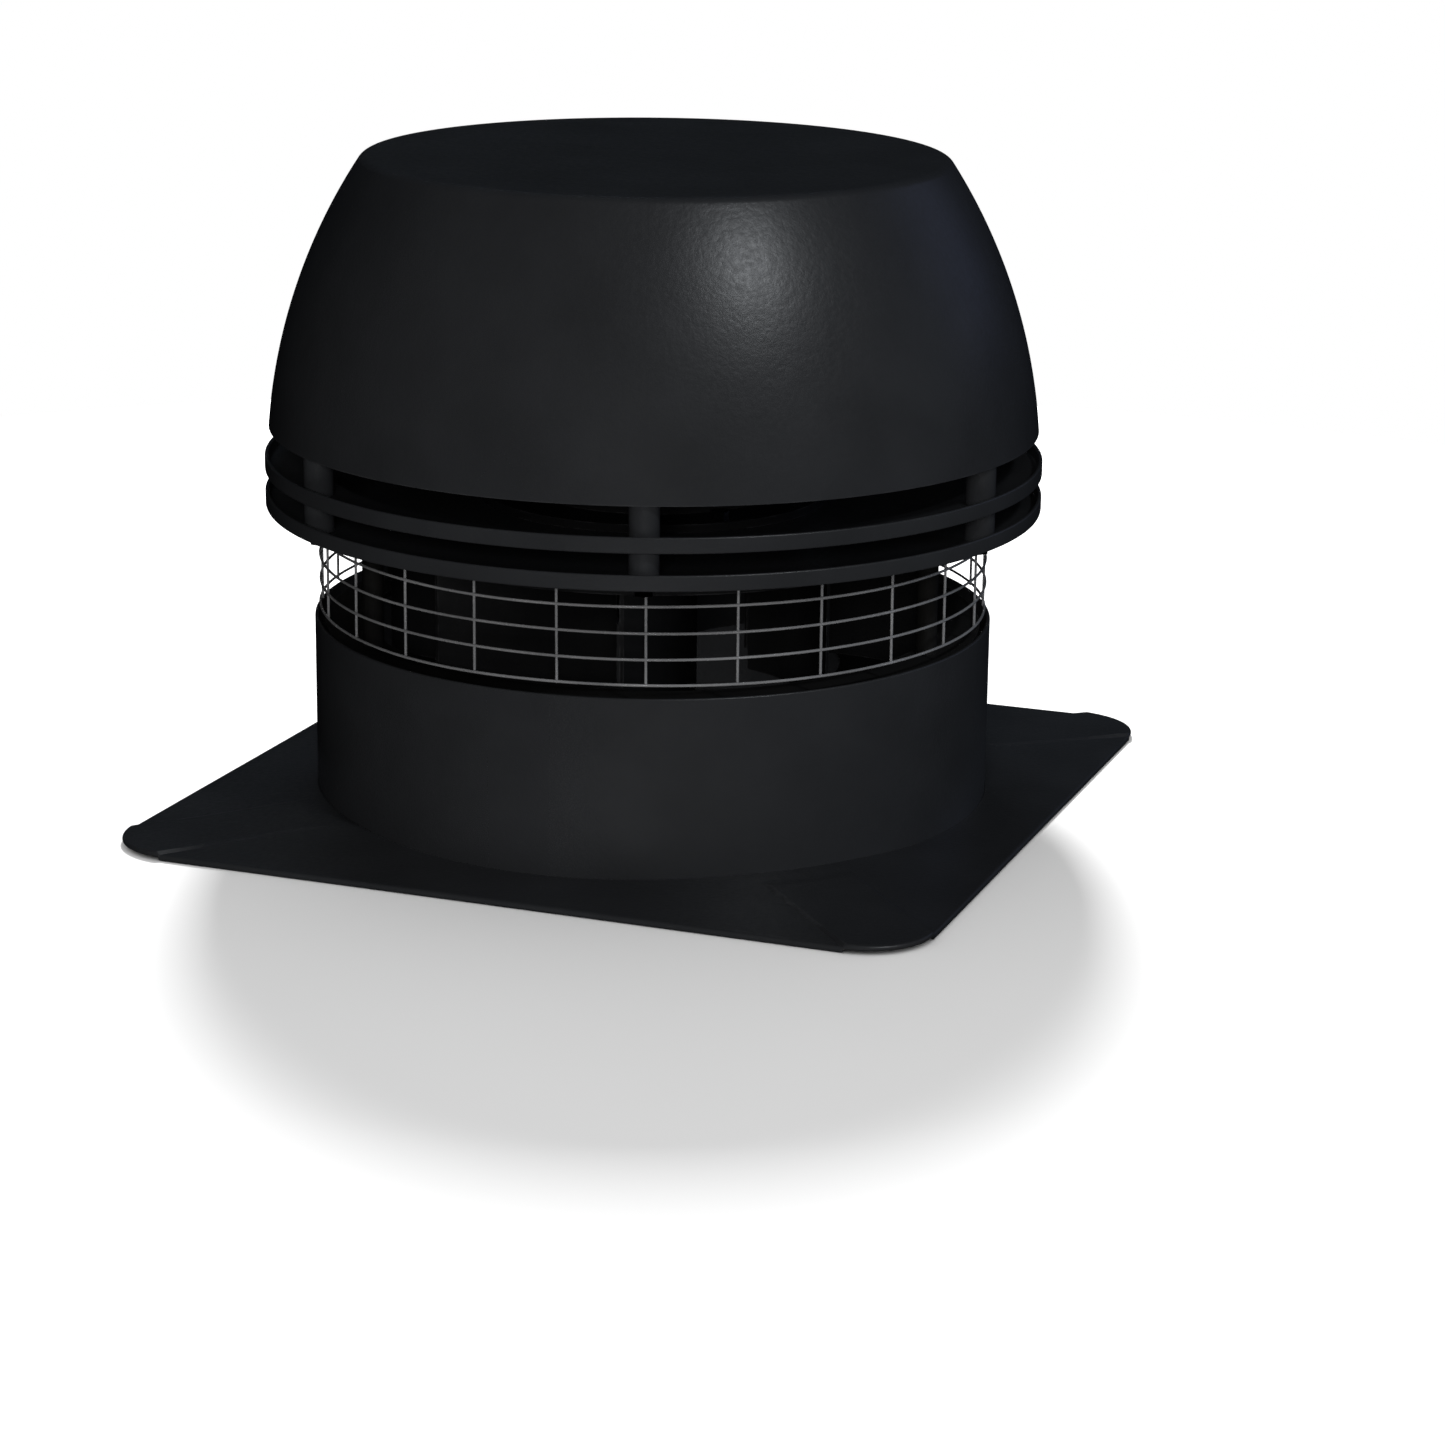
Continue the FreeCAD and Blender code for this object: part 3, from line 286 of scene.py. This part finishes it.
def edge_mask(tree, place, width, amount):
    """Nearly 0 on open faces and up to amount along edges, in patches as if rubbed by handling."""
    bevel = tree.nodes.new("ShaderNodeBevel")
    bevel.samples = BEVEL_SAMPLES
    bevel.inputs["Radius"].default_value = width
    geometry = tree.nodes.new("ShaderNodeNewGeometry")
    likeness = tree.nodes.new("ShaderNodeVectorMath")
    likeness.operation = "DOT_PRODUCT"
    tree.links.new(bevel.outputs["Normal"], likeness.inputs[0])
    tree.links.new(geometry.outputs["Normal"], likeness.inputs[1])
    bend = tree.nodes.new("ShaderNodeMapRange")
    bend.inputs["From Min"].default_value = WEAR_STARTS
    bend.inputs["From Max"].default_value = WEAR_FULL
    tree.links.new(likeness.outputs["Value"], bend.inputs["Value"])
    patches = tree.nodes.new("ShaderNodeMapRange")
    patches.inputs["From Min"].default_value = PATCH_RANGE[0]
    patches.inputs["From Max"].default_value = PATCH_RANGE[1]
    patches.inputs["To Max"].default_value = amount
    rubbing = noise(tree, place, PATCH_SCALE, detail=5, roughness=0.65)
    tree.links.new(rubbing, patches.inputs["Value"])
    both = tree.nodes.new("ShaderNodeMath")
    both.operation = "MULTIPLY"
    tree.links.new(bend.outputs["Result"], both.inputs[0])
    tree.links.new(patches.outputs["Result"], both.inputs[1])
    return both.outputs["Value"]


def mixed(tree, kind, mask, plain, worn):
    """Plain where the mask is 0, worn where it is 1."""
    node = tree.nodes.new("ShaderNodeMix")
    node.data_type = kind
    factor, first, second = [socket for socket in node.inputs if socket.enabled]
    tree.links.new(mask, factor)
    tree.links.new(plain, first)
    second.default_value = worn
    return next(socket for socket in node.outputs if socket.enabled)


def wear(tree, shader, place, width, amount, colour, rough):
    """Rubs the edges: another colour and roughness over what already feeds the shader."""
    mask = edge_mask(tree, place, width, amount)
    base, finish = shader.inputs["Base Color"], shader.inputs["Roughness"]
    tree.links.new(mixed(tree, "RGBA", mask, base.links[0].from_socket, (*colour, 1)), base)
    tree.links.new(mixed(tree, "FLOAT", mask, finish.links[0].from_socket, rough), finish)


# ---- materials ---------------------------------------------------------------------------------

def powder_coat(name, dark, light, rough):
    """Satin black powder coat: pebbled skin, faint clouding, fine specks."""
    material, tree, shader, place = node_material(name)
    clouds = noise(tree, place, scale=22, detail=4)
    pebbles = noise(tree, place, scale=420, detail=2.5, roughness=0.55)
    swell = noise(tree, place, scale=110, detail=1)
    grit = noise(tree, place, scale=1500, detail=1)
    tree.links.new(ramp(tree, clouds, CLOUD_RANGE, dark, light), shader.inputs["Base Color"])
    tree.links.new(spread(tree, pebbles, rough - 0.08, rough + 0.10), shader.inputs["Roughness"])
    shader.inputs["Specular IOR Level"].default_value = 0.42
    wear(tree, shader, place, width=1.0 * MM, amount=0.55, colour=(0.042, 0.042, 0.044), rough=0.3)
    bump(tree, shader, [(swell, 0.25, 0.4 * MM),
                        (pebbles, 0.45, 0.25 * MM),
                        (grit, 0.2, 0.05 * MM)])
    return material


def metal(name, dark, light, rough, brushed=None, metallic=1.0, grain=300, edge=0.6 * MM):
    """Bare metal with brush lines, or a cast skin where brushed is None."""
    material, tree, shader, place = node_material(name)
    grains = noise(tree, place, scale=grain, detail=3, stretch=brushed)
    clouds = noise(tree, place, scale=35, detail=4)
    tree.links.new(ramp(tree, clouds, CLOUD_RANGE, dark, light), shader.inputs["Base Color"])
    tree.links.new(spread(tree, grains, rough - 0.1, rough + 0.12), shader.inputs["Roughness"])
    shader.inputs["Metallic"].default_value = metallic
    polished = [min(0.8, 1.4 * value) for value in light]
    wear(tree, shader, place, width=edge, amount=0.7, colour=polished, rough=0.18)
    bump(tree, shader, [(grains, 0.25, 0.06 * MM)])
    return material


def plastic(name, dark, light, rough):
    """Moulded plastic with a fine grain."""
    material, tree, shader, place = node_material(name)
    grains = noise(tree, place, scale=900, detail=2)
    clouds = noise(tree, place, scale=30, detail=3)
    tree.links.new(ramp(tree, clouds, CLOUD_RANGE, dark, light), shader.inputs["Base Color"])
    tree.links.new(spread(tree, grains, rough - 0.06, rough + 0.08), shader.inputs["Roughness"])
    scuffed = [1.6 * value for value in light]
    wear(tree, shader, place, width=0.8 * MM, amount=0.6, colour=scuffed, rough=0.32)
    bump(tree, shader, [(grains, 0.2, 0.05 * MM)])
    return material


def fibre_mat(name, dark, light):
    """Pressed mineral fibres that lie mostly flat."""
    material, tree, shader, place = node_material(name)
    fibres = noise(tree, place, scale=420, detail=4, stretch=(1.0, 0.25, 3.0))
    clouds = noise(tree, place, scale=60, detail=3)
    tree.links.new(ramp(tree, clouds, CLOUD_RANGE, dark, light), shader.inputs["Base Color"])
    tree.links.new(spread(tree, fibres, 0.88, 1.0), shader.inputs["Roughness"])
    wear(tree, shader, place, width=1.0 * MM, amount=0.8, colour=(0.30, 0.28, 0.22), rough=0.98)
    bump(tree, shader, [(fibres, 0.6, 0.4 * MM)])
    return material


def laminations(name, dark, light):
    """Thin steel sheets stacked along Z."""
    material, tree, shader, place = node_material(name)
    layers = tree.nodes.new("ShaderNodeTexWave")
    layers.bands_direction = "Z"
    layers.inputs["Scale"].default_value = 300
    layers.inputs["Distortion"].default_value = 0.4
    tree.links.new(place, layers.inputs["Vector"])
    stripes = layers.outputs["Fac"]
    tree.links.new(ramp(tree, stripes, STRIPE_RANGE, dark, light), shader.inputs["Base Color"])
    shader.inputs["Metallic"].default_value = 0.8
    grains = noise(tree, place, scale=200, detail=3)
    tree.links.new(spread(tree, grains, 0.42, 0.6), shader.inputs["Roughness"])
    wear(tree, shader, place, width=0.6 * MM, amount=0.7, colour=(0.30, 0.30, 0.31), rough=0.3)
    bump(tree, shader, [(stripes, 0.4, 0.1 * MM)])
    return material


def copper_wire(name, dark, light):
    """Enamelled wire, wound round Z."""
    material, tree, shader, place = node_material(name)
    winding = tree.nodes.new("ShaderNodeTexWave")
    winding.wave_type = "RINGS"
    winding.rings_direction = "Z"
    winding.inputs["Scale"].default_value = 260
    winding.inputs["Distortion"].default_value = 2.0
    tree.links.new(place, winding.inputs["Vector"])
    turns = winding.outputs["Fac"]
    tree.links.new(ramp(tree, turns, STRIPE_RANGE, dark, light), shader.inputs["Base Color"])
    shader.inputs["Metallic"].default_value = 0.7
    grains = noise(tree, place, scale=160, detail=3)
    tree.links.new(spread(tree, grains, 0.28, 0.46), shader.inputs["Roughness"])
    wear(tree, shader, place, width=0.8 * MM, amount=0.5, colour=(0.80, 0.45, 0.22), rough=0.25)
    bump(tree, shader, [(turns, 0.6, 0.3 * MM)])
    return material


# One material for each material slot of the record: name, dark and light colour, roughness.
MATERIALS = {
    "black_powder": powder_coat("black_powder_coat", (0.0136, 0.0141, 0.0152),
                                (0.0169, 0.0175, 0.0189), 0.37),
    "galvanised": metal("galvanised_wire", (0.22, 0.22, 0.225), (0.34, 0.34, 0.345), 0.24,
                        metallic=0.55, edge=0.15 * MM),
    "black_enamel": powder_coat("black_enamel", (0.004, 0.004, 0.0042), (0.007, 0.007, 0.0073), 0.5),
    "stainless": metal("brushed_stainless", (0.36, 0.36, 0.35), (0.52, 0.52, 0.50), 0.34,
                       brushed=(1.0, 1.0, 12.0)),
    "cast_aluminium": metal("cast_aluminium", (0.34, 0.35, 0.36), (0.50, 0.51, 0.52), 0.55,
                            metallic=0.9, grain=700),
    "zinc_steel": metal("zinc_plated_steel", (0.45, 0.44, 0.40), (0.64, 0.63, 0.60), 0.32),
    "lamination": laminations("laminated_steel", (0.05, 0.05, 0.055), (0.16, 0.16, 0.17)),
    "copper": copper_wire("enamelled_copper", (0.25, 0.08, 0.03), (0.62, 0.27, 0.10)),
    "black_plastic": plastic("black_nylon", (0.016, 0.016, 0.018), (0.026, 0.026, 0.028), 0.5),
    "grey_plastic": plastic("grey_moulding", (0.24, 0.25, 0.26), (0.33, 0.34, 0.35), 0.45),
    "graphite_seal": plastic("graphite_seal", (0.035, 0.035, 0.036), (0.06, 0.06, 0.06), 0.7),
    "mineral_mat": fibre_mat("mineral_fibre", (0.42, 0.40, 0.33), (0.62, 0.60, 0.52)),
}

# Painted shade: what carries the head is drawn near-black, whatever its slot says, so that it sinks into
# the shade inside the head.
SHADE_BLACK_STEEL = powder_coat("shade_black_steel", (0.0035, 0.0034, 0.0033), (0.0065, 0.0063, 0.006), 0.62)
DARKENED_FOR_SHADE = ("swing_ring", "support_legs", "leg_screws", "rest_ledges")


# ---- cover, lips, drum and posts ---------------------------------------------------------------

COVER_TOP_RINGS = 12
POST_STEPS = 40


def make_cover():
    """The spun dome: one long arc, a tight shoulder, a flat top and a turned-in mouth."""
    centre = (cover_radius - COVER_BEND * math.cos(COVER_LEAN),
              cover_low - COVER_BEND * math.sin(COVER_LEAN))
    turn_z = cover_top - COVER_SHOULDER
    turn_r = centre[0] + math.sqrt((COVER_BEND - COVER_SHOULDER) ** 2 - (turn_z - centre[1]) ** 2)
    meet = math.atan2(turn_z - centre[1], turn_r - centre[0])
    outer = arc(centre, COVER_BEND, COVER_LEAN, meet, steps=64)
    outer += arc((turn_r, turn_z), COVER_SHOULDER, meet, QUARTER_TURN, steps=12)[1:]
    outer += [(turn_r * k / COVER_TOP_RINGS, cover_top) for k in reversed(range(COVER_TOP_RINGS))]
    thin = COVER_BEND - SHEET
    inner = arc(centre, thin, COVER_LEAN + SHEET / COVER_BEND, meet, steps=48)
    inner += arc((turn_r, turn_z), COVER_SHOULDER - SHEET, meet, QUARTER_TURN, steps=8)[1:]
    inner += [(0, cover_top - SHEET)]
    mouth_radius = cover_radius - COVER_RETURN
    mouth = [(mouth_radius, cover_low + SHEET), (mouth_radius, cover_low)]
    return lathe("cover_shell", outer + inner[::-1] + mouth)


def make_lip(name, low, top, hole):
    """A flat ring with an upturned rim."""
    wall = head_radius - SHEET
    floor = low + SHEET
    outline = [(hole, low), (head_radius, low), (head_radius, top), (wall, top), (wall, floor),
               (hole, floor)]
    return lathe(name, rounded(outline, LIP_ROUND))


def make_drum():
    """A straight tube with a thin flange at its foot."""
    wall = DRUM_RADIUS - SHEET
    foot = drum_low + DRUM_FLANGE
    outline = [(wall, drum_low), (drum_reach, drum_low), (drum_reach, foot), (DRUM_RADIUS, foot),
               (DRUM_RADIUS, drum_top), (wall, drum_top)]
    return lathe("drum_shell", rounded(outline, LIP_ROUND))


def make_posts(name, low, high):
    """The circle of hollow posts between two levels."""
    outline = rounded([(POST_BORE, low), (POST_RADIUS, low), (POST_RADIUS, high), (POST_BORE, high)],
                      POST_ROUND)
    parts = []
    for index in range(POST_COUNT):
        turn = POST_FIRST + FULL_TURN * index / POST_COUNT
        centre = Vector((POST_CIRCLE * math.cos(turn), POST_CIRCLE * math.sin(turn), 0))
        points = [centre + Vector((r * math.cos(FULL_TURN * i / POST_STEPS),
                                   r * math.sin(FULL_TURN * i / POST_STEPS), z))
                  for r, z in outline for i in range(POST_STEPS)]
        parts.append((points, grid_faces(len(outline), POST_STEPS, wrap_rows=True)))
    return join_parts(name, parts)


# ---- base plate --------------------------------------------------------------------------------

# The rim has eight sections: even ones are sides, odd ones are corners.  A point on the plate has a
# section, t from 0 to 1 along that section, and outward from 0 at the opening to 1 at the rim.
RIM_SECTIONS = 8
SIDE_STEPS = 40
CORNER_STEPS = 28
SLOPE_ROWS = 44
HEM_ROWS = 8
UNDER_ROWS = 8
HEM_END = 0.95                   # outward, where the folded hem ends
CREASE_RUN = 0.02                # in t, over which a corner band steps up from the sides
STEP_START, STEP_RUN = 0.12, 0.08   # outward, where the band comes up out of the plate
LIFT_START, LIFT_RUN = 0.6, 0.4     # outward, where it lifts further towards the rim


def is_corner(section):
    return section % 2 == 1


def smooth_step(value):
    value = min(1.0, max(0.0, value))
    return value * value * (3 - 2 * value)


def plate_slope(point):
    """Height of the cross-broken plate without its raised corner bands."""
    x, y = abs(point.x), abs(point.y)
    to_corner = (2 * plate_half - PLATE_CORNER - x - y) / 2
    inset = min(plate_half - x, plate_half - y, to_corner, PLATE_SLOPE_RUN)
    return HEM_DEPTH + PLATE_RISE * inset / PLATE_SLOPE_RUN


def corner_lift(section, t, outward):
    """How far a corner band stands above the sides: an even step, higher at the rim."""
    if not is_corner(section):
        return 0.0
    across = smooth_step(min(t, 1 - t) / CREASE_RUN)
    step = CORNER_STEP * smooth_step((outward - STEP_START) / STEP_RUN)
    lift = (CORNER_LIFT - CORNER_STEP) * smooth_step((outward - LIFT_START) / LIFT_RUN)
    return across * (step + lift)


def plate_edge_point(section, t):
    """A point on the rim, seen from above."""
    straight = plate_half - PLATE_CORNER
    if is_corner(section):
        swing = QUARTER_TURN * t
        local = Vector((straight + PLATE_CORNER * math.cos(swing),
                        straight + PLATE_CORNER * math.sin(swing), 0))
    else:
        local = Vector((plate_half, straight * (2 * t - 1), 0))
    return Matrix.Rotation(QUARTER_TURN * (section // 2), 3, "Z") @ local


def plate_hole_point(section, t):
    """The matching point on the opening of the plate, where the same crease meets the circle."""
    radius = DRUM_RADIUS + HOLE_GAP
    half_band = math.asin(PLATE_CORNER / math.sqrt(2) / radius)
    side_sweep = QUARTER_TURN - 2 * half_band
    first = QUARTER_TURN * (section // 2) - math.pi / 4 + half_band
    if is_corner(section):
        angle = first + side_sweep + 2 * half_band * t
    else:
        angle = first + side_sweep * t
    return Vector((radius * math.cos(angle), radius * math.sin(angle), 0))


def plate_strip(section, t):
    """One closed strip: from the opening out to the rim, round the hem and back underneath."""
    corner = is_corner(section)
    edge = plate_edge_point(section, t)
    hole = plate_hole_point(section, t)
    inward = (hole - edge).normalized()
    low = HEM_DEPTH - CORNER_LIP + CORNER_LIFT if corner else 0.0
    hem_width = CORNER_HEM_WIDTH if corner else HEM_WIDTH
    rim_top = plate_slope(edge) + corner_lift(section, t, 1.0)
    bend = (rim_top - low) / 2
    start = edge + inward * bend
    strip = []
    for k in range(SLOPE_ROWS + 1):
        outward = k / SLOPE_ROWS
        point = hole.lerp(start, outward)
        point.z = plate_slope(point) + corner_lift(section, t, outward)
        strip.append(point)
    centre = Vector((start.x, start.y, rim_top - bend))
    for k in range(1, HEM_ROWS + 1):
        turn = math.pi * k / HEM_ROWS
        strip.append(centre - inward * bend * math.sin(turn) + UP * (bend * math.cos(turn)))
    hem_edge = edge + inward * hem_width
    strip.append(Vector((hem_edge.x, hem_edge.y, low)))
    under = plate_slope(hem_edge) + corner_lift(section, t, HEM_END) - PLATE_SHEET
    strip.append(Vector((hem_edge.x, hem_edge.y, max(under, low + PLATE_THINNEST))))
    for k in range(1, UNDER_ROWS + 1):
        inwards = k / UNDER_ROWS
        point = hem_edge.lerp(hole, inwards)
        point.z = plate_slope(point) + corner_lift(section, t, 1 - inwards) - PLATE_SHEET
        strip.append(point)
    return strip


def make_plate():
    """Hemmed sheet.  Strips are doubled where a side meets a corner, so that steps stay crisp."""
    strips = []
    for section in range(RIM_SECTIONS):
        steps = CORNER_STEPS if is_corner(section) else SIDE_STEPS
        strips += [plate_strip(section, k / steps) for k in range(steps + 1)]
    points = [point for row in zip(*strips) for point in row]
    return add_mesh("plate_sheet", points, grid_faces(len(strips[0]), len(strips), wrap_rows=True))


# ---- wire guard --------------------------------------------------------------------------------

GUARD_SEED = 7
RING_STEPS = 300
WIRE_SIDES = 10
UPRIGHT_STEPS = 8
PHASE_LIMIT = 6.28               # one whole wave of a ring's sway
SWAY_RANGE = (0.10, 0.22)        # mm, up and down along a ring
SWAY_WAVES = 5
RING_INSET = 0.25 * MM
RING_OVAL = 0.2 * MM
OVAL_WAVES = 7
UPRIGHT_SHIFT = 0.15             # degrees round the guard
UPRIGHT_LEAN = 0.12              # degrees round the guard, from foot to top
WELD_RADIUS = WIRE_RADIUS * 1.15
WELD_ROWS, WELD_COLUMNS = 6, 10


def on_circle(radius, turn, height):
    return Vector((radius * math.cos(turn), radius * math.sin(turn), height))


def guard_ring(height, phase, sway):
    """A level wire that is neither quite flat nor quite round."""
    path = []
    for i in range(RING_STEPS):
        turn = FULL_TURN * i / RING_STEPS
        level = height + sway * math.sin(SWAY_WAVES * turn + phase)
        reach = GUARD_RADIUS - RING_INSET + RING_OVAL * math.sin(OVAL_WAVES * turn + phase)
        path.append(on_circle(reach, turn, level))
    return tube(path, WIRE_RADIUS, WIRE_SIDES, closed=True)


def guard_upright(turn, lean):
    foot = guard_low - WIRE_RADIUS
    length = tray_low - guard_low + WIRE_RADIUS
    path = [on_circle(UPRIGHT_RADIUS, turn + lean * k / UPRIGHT_STEPS, foot + length * k / UPRIGHT_STEPS)
            for k in range(UPRIGHT_STEPS + 1)]
    return tube(path, WIRE_RADIUS, WIRE_SIDES)


def weld_bead(centre):
    """A small bead where two wires cross."""
    points = []
    for row in range(WELD_ROWS + 1):
        tilt = math.pi * row / WELD_ROWS
        for column in range(WELD_COLUMNS):
            turn = FULL_TURN * column / WELD_COLUMNS
            points.append(centre + on_circle(math.sin(tilt), turn, math.cos(tilt)) * WELD_RADIUS)
    return points, grid_faces(WELD_ROWS + 1, WELD_COLUMNS)


def make_guard():
    """Level rings and uprights, each a little off its place, with a weld bead at every crossing."""
    dice = random.Random(GUARD_SEED)
    heights = [guard_low + ring * GUARD_PITCH for ring in range(GUARD_RINGS)]
    parts = []
    for height in heights:
        phase = dice.uniform(0, PHASE_LIMIT)
        sway = dice.uniform(*SWAY_RANGE) * MM
        parts.append(guard_ring(height, phase, sway))
    weld_circle = (GUARD_RADIUS + UPRIGHT_RADIUS) / 2
    half = GUARD_UPRIGHTS // 2
    for index in range(-half, half + 1):
        shift = math.radians(dice.uniform(-UPRIGHT_SHIFT, UPRIGHT_SHIFT))
        lean = math.radians(dice.uniform(-UPRIGHT_LEAN, UPRIGHT_LEAN))
        turn = GUARD_MIDDLE + index * GUARD_WIRE_ANGLE + shift
        parts.append(guard_upright(turn, lean))
        parts += [weld_bead(on_circle(weld_circle, turn, height)) for height in heights]
    return join_parts("guard_mesh", parts)


# ---- the object --------------------------------------------------------------------------------

def stand_in_for(piece, node, body, slot_name):
    """Shows the piece in place of a CAD node, on the body that carries that node."""
    piece.data.materials.append(MATERIALS[slot_name])
    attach(piece, body)
    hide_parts(node)


def dress_cad_nodes():
    """Materials for the CAD nodes by their slots, except for those drawn near-black as painted shade."""
    slots = {entry["node"]: entry["material_slot"] for entry in frame["record"]["subparts"]}
    for name, piece in nodes.items():
        piece.data.materials.clear()
        # painted shade: the parts that carry the head get the near-black material instead of their
        # slot's
        piece.data.materials.append(SHADE_BLACK_STEEL if name in DARKENED_FOR_SHADE else MATERIALS[slots[name]])
        piece.data.set_sharp_from_angle(angle=SHARP_ANGLE)


def build():
    stand_in_for(make_plate(), "base_plate", "base", "black_powder")
    stand_in_for(make_drum(), "inlet_drum", "base", "black_powder")
    stand_in_for(make_cover(), "top_cover", "head", "black_powder")
    tray = make_lip("tray_lip", tray_low, tray_top, TRAY_HOLE)
    stand_in_for(tray, "motor_tray", "head", "black_powder")
    louvre = make_lip("louvre_lip", louvre_low, louvre_top, LOUVRE_HOLE)
    stand_in_for(louvre, "louvre_ring", "head", "black_powder")
    lower_posts = make_posts("lower_post_set", tray_low + SHEET, louvre_low)
    stand_in_for(lower_posts, "lower_posts", "head", "black_powder")
    upper_posts = make_posts("upper_post_set", louvre_low + SHEET, cover_low)
    stand_in_for(upper_posts, "upper_posts", "head", "black_powder")
    stand_in_for(make_guard(), "bird_guard", "head", "galvanised")
    dress_cad_nodes()


# ---- stage -------------------------------------------------------------------------------------

CAMERA_PLACE = Vector((0.66926, -1.71078, 0.56446))
CAMERA_AIM = Vector((0.03257, 0.01202, 0.03321))
CAMERA_ROLL = math.radians(0.724)
CAMERA_LENS = 96.24
SENSOR = 36.0
LIGHTS_AIM = Vector((0, 0, 0.17))
FLOOR_WHITE = 0.86
FLOOR_CLOUDING = 0.01
FLOOR_REACH = 1.0
FLOOR_STEPS = 96
PALE_BLUE = (0.7, 0.82, 1.0)
SKY_BLUE = (0.70, 0.84, 1.0)
DAYLIGHT = (0.92, 0.96, 1.0)
DEEP_BLUE = (0.45, 0.55, 1.0)


def aim(item, place, target, roll=0.0):
    """Points the item's -Z at the target, level, then rolled about its own axis."""
    forward = (target - place).normalized()
    right = forward.cross(UP).normalized()
    level = Matrix((right, right.cross(forward), -forward)).transposed()
    item.matrix_world = Matrix.Translation(place) @ (level @ Matrix.Rotation(roll, 3, "Z")).to_4x4()


def add_camera():
    data = bpy.data.cameras.new("view")
    data.lens = CAMERA_LENS
    data.sensor_width = SENSOR
    data.clip_start = 0.05
    data.clip_end = 50
    camera = bpy.data.objects.new("view", data)
    bpy.context.scene.collection.objects.link(camera)
    aim(camera, CAMERA_PLACE, CAMERA_AIM, CAMERA_ROLL)
    bpy.context.scene.camera = camera


def polar(azimuth, elevation, distance=1.0):
    """A point at a distance from the origin, from angles in degrees."""
    azimuth, elevation = math.radians(azimuth), math.radians(elevation)
    return Vector((math.cos(azimuth) * math.cos(elevation), math.sin(azimuth) * math.cos(elevation),
                   math.sin(elevation))) * distance


def add_light(name, kind, place, target, receivers, **values):
    """A light that only the given receivers are lit by."""
    data = bpy.data.lights.new(name, kind)
    for key, value in values.items():
        setattr(data, key, value)
    light = bpy.data.objects.new(name, data)
    bpy.context.scene.collection.objects.link(light)
    aim(light, place, target)
    light.light_linking.receiver_collection = receivers
    return light


def add_softbox(name, receivers, azimuth, elevation, distance, size, irradiance, colour=(1, 1, 1)):
    """A square soft light, by how strongly it lights a surface that faces it."""
    place = LIGHTS_AIM + polar(azimuth, elevation, distance)
    return add_light(name, "AREA", place, LIGHTS_AIM, receivers, shape="SQUARE", size=size,
                     energy=irradiance * math.pi * distance ** 2, color=colour)


def add_sun(name, receivers, azimuth, elevation, spread_angle, brightness):
    """A distant soft light, by how bright it makes the floor."""
    strength = brightness * math.pi / (FLOOR_WHITE * math.sin(math.radians(elevation)))
    return add_light(name, "SUN", polar(azimuth, elevation), Vector((0, 0, 0)), receivers,
                     energy=strength, angle=math.radians(spread_angle))


def receiver_group(name, floor, state):
    """The floor alone where state is INCLUDE, everything else where it is EXCLUDE."""
    group = bpy.data.collections.new(name)
    group.objects.link(floor)
    group.collection_objects[0].light_linking.link_state = state
    return group


def add_floor():
    """A pale disc that takes shadows but neither lights the object nor shows in its reflections."""
    rim = [on_circle(FLOOR_REACH, FULL_TURN * i / FLOOR_STEPS, 0) for i in range(FLOOR_STEPS)]
    floor = add_mesh("floor", rim, [tuple(range(FLOOR_STEPS))], smooth=False)
    material, tree, shader, place = node_material("pale_floor")
    shades = ramp(tree, noise(tree, place, scale=3), CLOUD_RANGE,
                  (FLOOR_WHITE - FLOOR_CLOUDING,) * 3, (FLOOR_WHITE + FLOOR_CLOUDING,) * 3)
    tree.links.new(shades, shader.inputs["Base Color"])
    shader.inputs["Roughness"].default_value = 0.9
    shader.inputs["Specular IOR Level"].default_value = 0.0
    floor.data.materials.append(material)
    floor.visible_glossy = False
    floor.visible_diffuse = False
    return floor


def add_world():
    """A white surround that only the camera sees."""
    world = bpy.data.worlds.new("studio")
    world.use_nodes = True
    sky = world.node_tree.nodes["Background"]
    sky.inputs["Color"].default_value = (1, 1, 1, 1)
    sky.inputs["Strength"].default_value = 1.0
    world.cycles_visibility.glossy = False
    world.cycles_visibility.diffuse = False
    bpy.context.scene.world = world


def add_lights(floor):
    """The floor and the object have lights of their own, so that one can be set without the other."""
    ground = receiver_group("floor_only", floor, "INCLUDE")
    solid = receiver_group("object_only", floor, "EXCLUDE")
    add_sun("floor_fill", ground, azimuth=0, elevation=90, spread_angle=170, brightness=0.70)
    add_softbox("floor_key", ground, azimuth=111.4, elevation=46, distance=1.8, size=0.25,
                irradiance=4.6)

    key = add_softbox("key", solid, azimuth=-72, elevation=14, distance=3.0, size=0.64,
                      irradiance=1.95)
    bounce = add_softbox("bounce", solid, azimuth=-72, elevation=-25, distance=2.0, size=1.2,
                         irradiance=1.1)
    bounce.light_linking.blocker_collection = solid
    back = add_softbox("back", solid, azimuth=120, elevation=52, distance=3.0, size=1.4,
                       irradiance=1.5, colour=SKY_BLUE)
    side = add_softbox("side", solid, azimuth=20, elevation=10, distance=2.6, size=1.2,
                       irradiance=0.8, colour=PALE_BLUE)
    rear = add_softbox("rear", solid, azimuth=125, elevation=14, distance=3.0, size=1.4,
                       irradiance=1.3)
    for wide in (key, back, bounce, side, rear):
        wide.visible_glossy = False

    add_softbox("window", solid, azimuth=-33, elevation=42, distance=2.5, size=0.22,
                irradiance=0.80, colour=DAYLIGHT)
    add_softbox("cool_side", solid, azimuth=50, elevation=20, distance=2.6, size=1.2,
                irradiance=0.06, colour=DEEP_BLUE)


bpy.context.scene.view_settings.view_transform = "Standard"
add_camera()
build()
floor_disc = add_floor()
add_world()
add_lights(floor_disc)
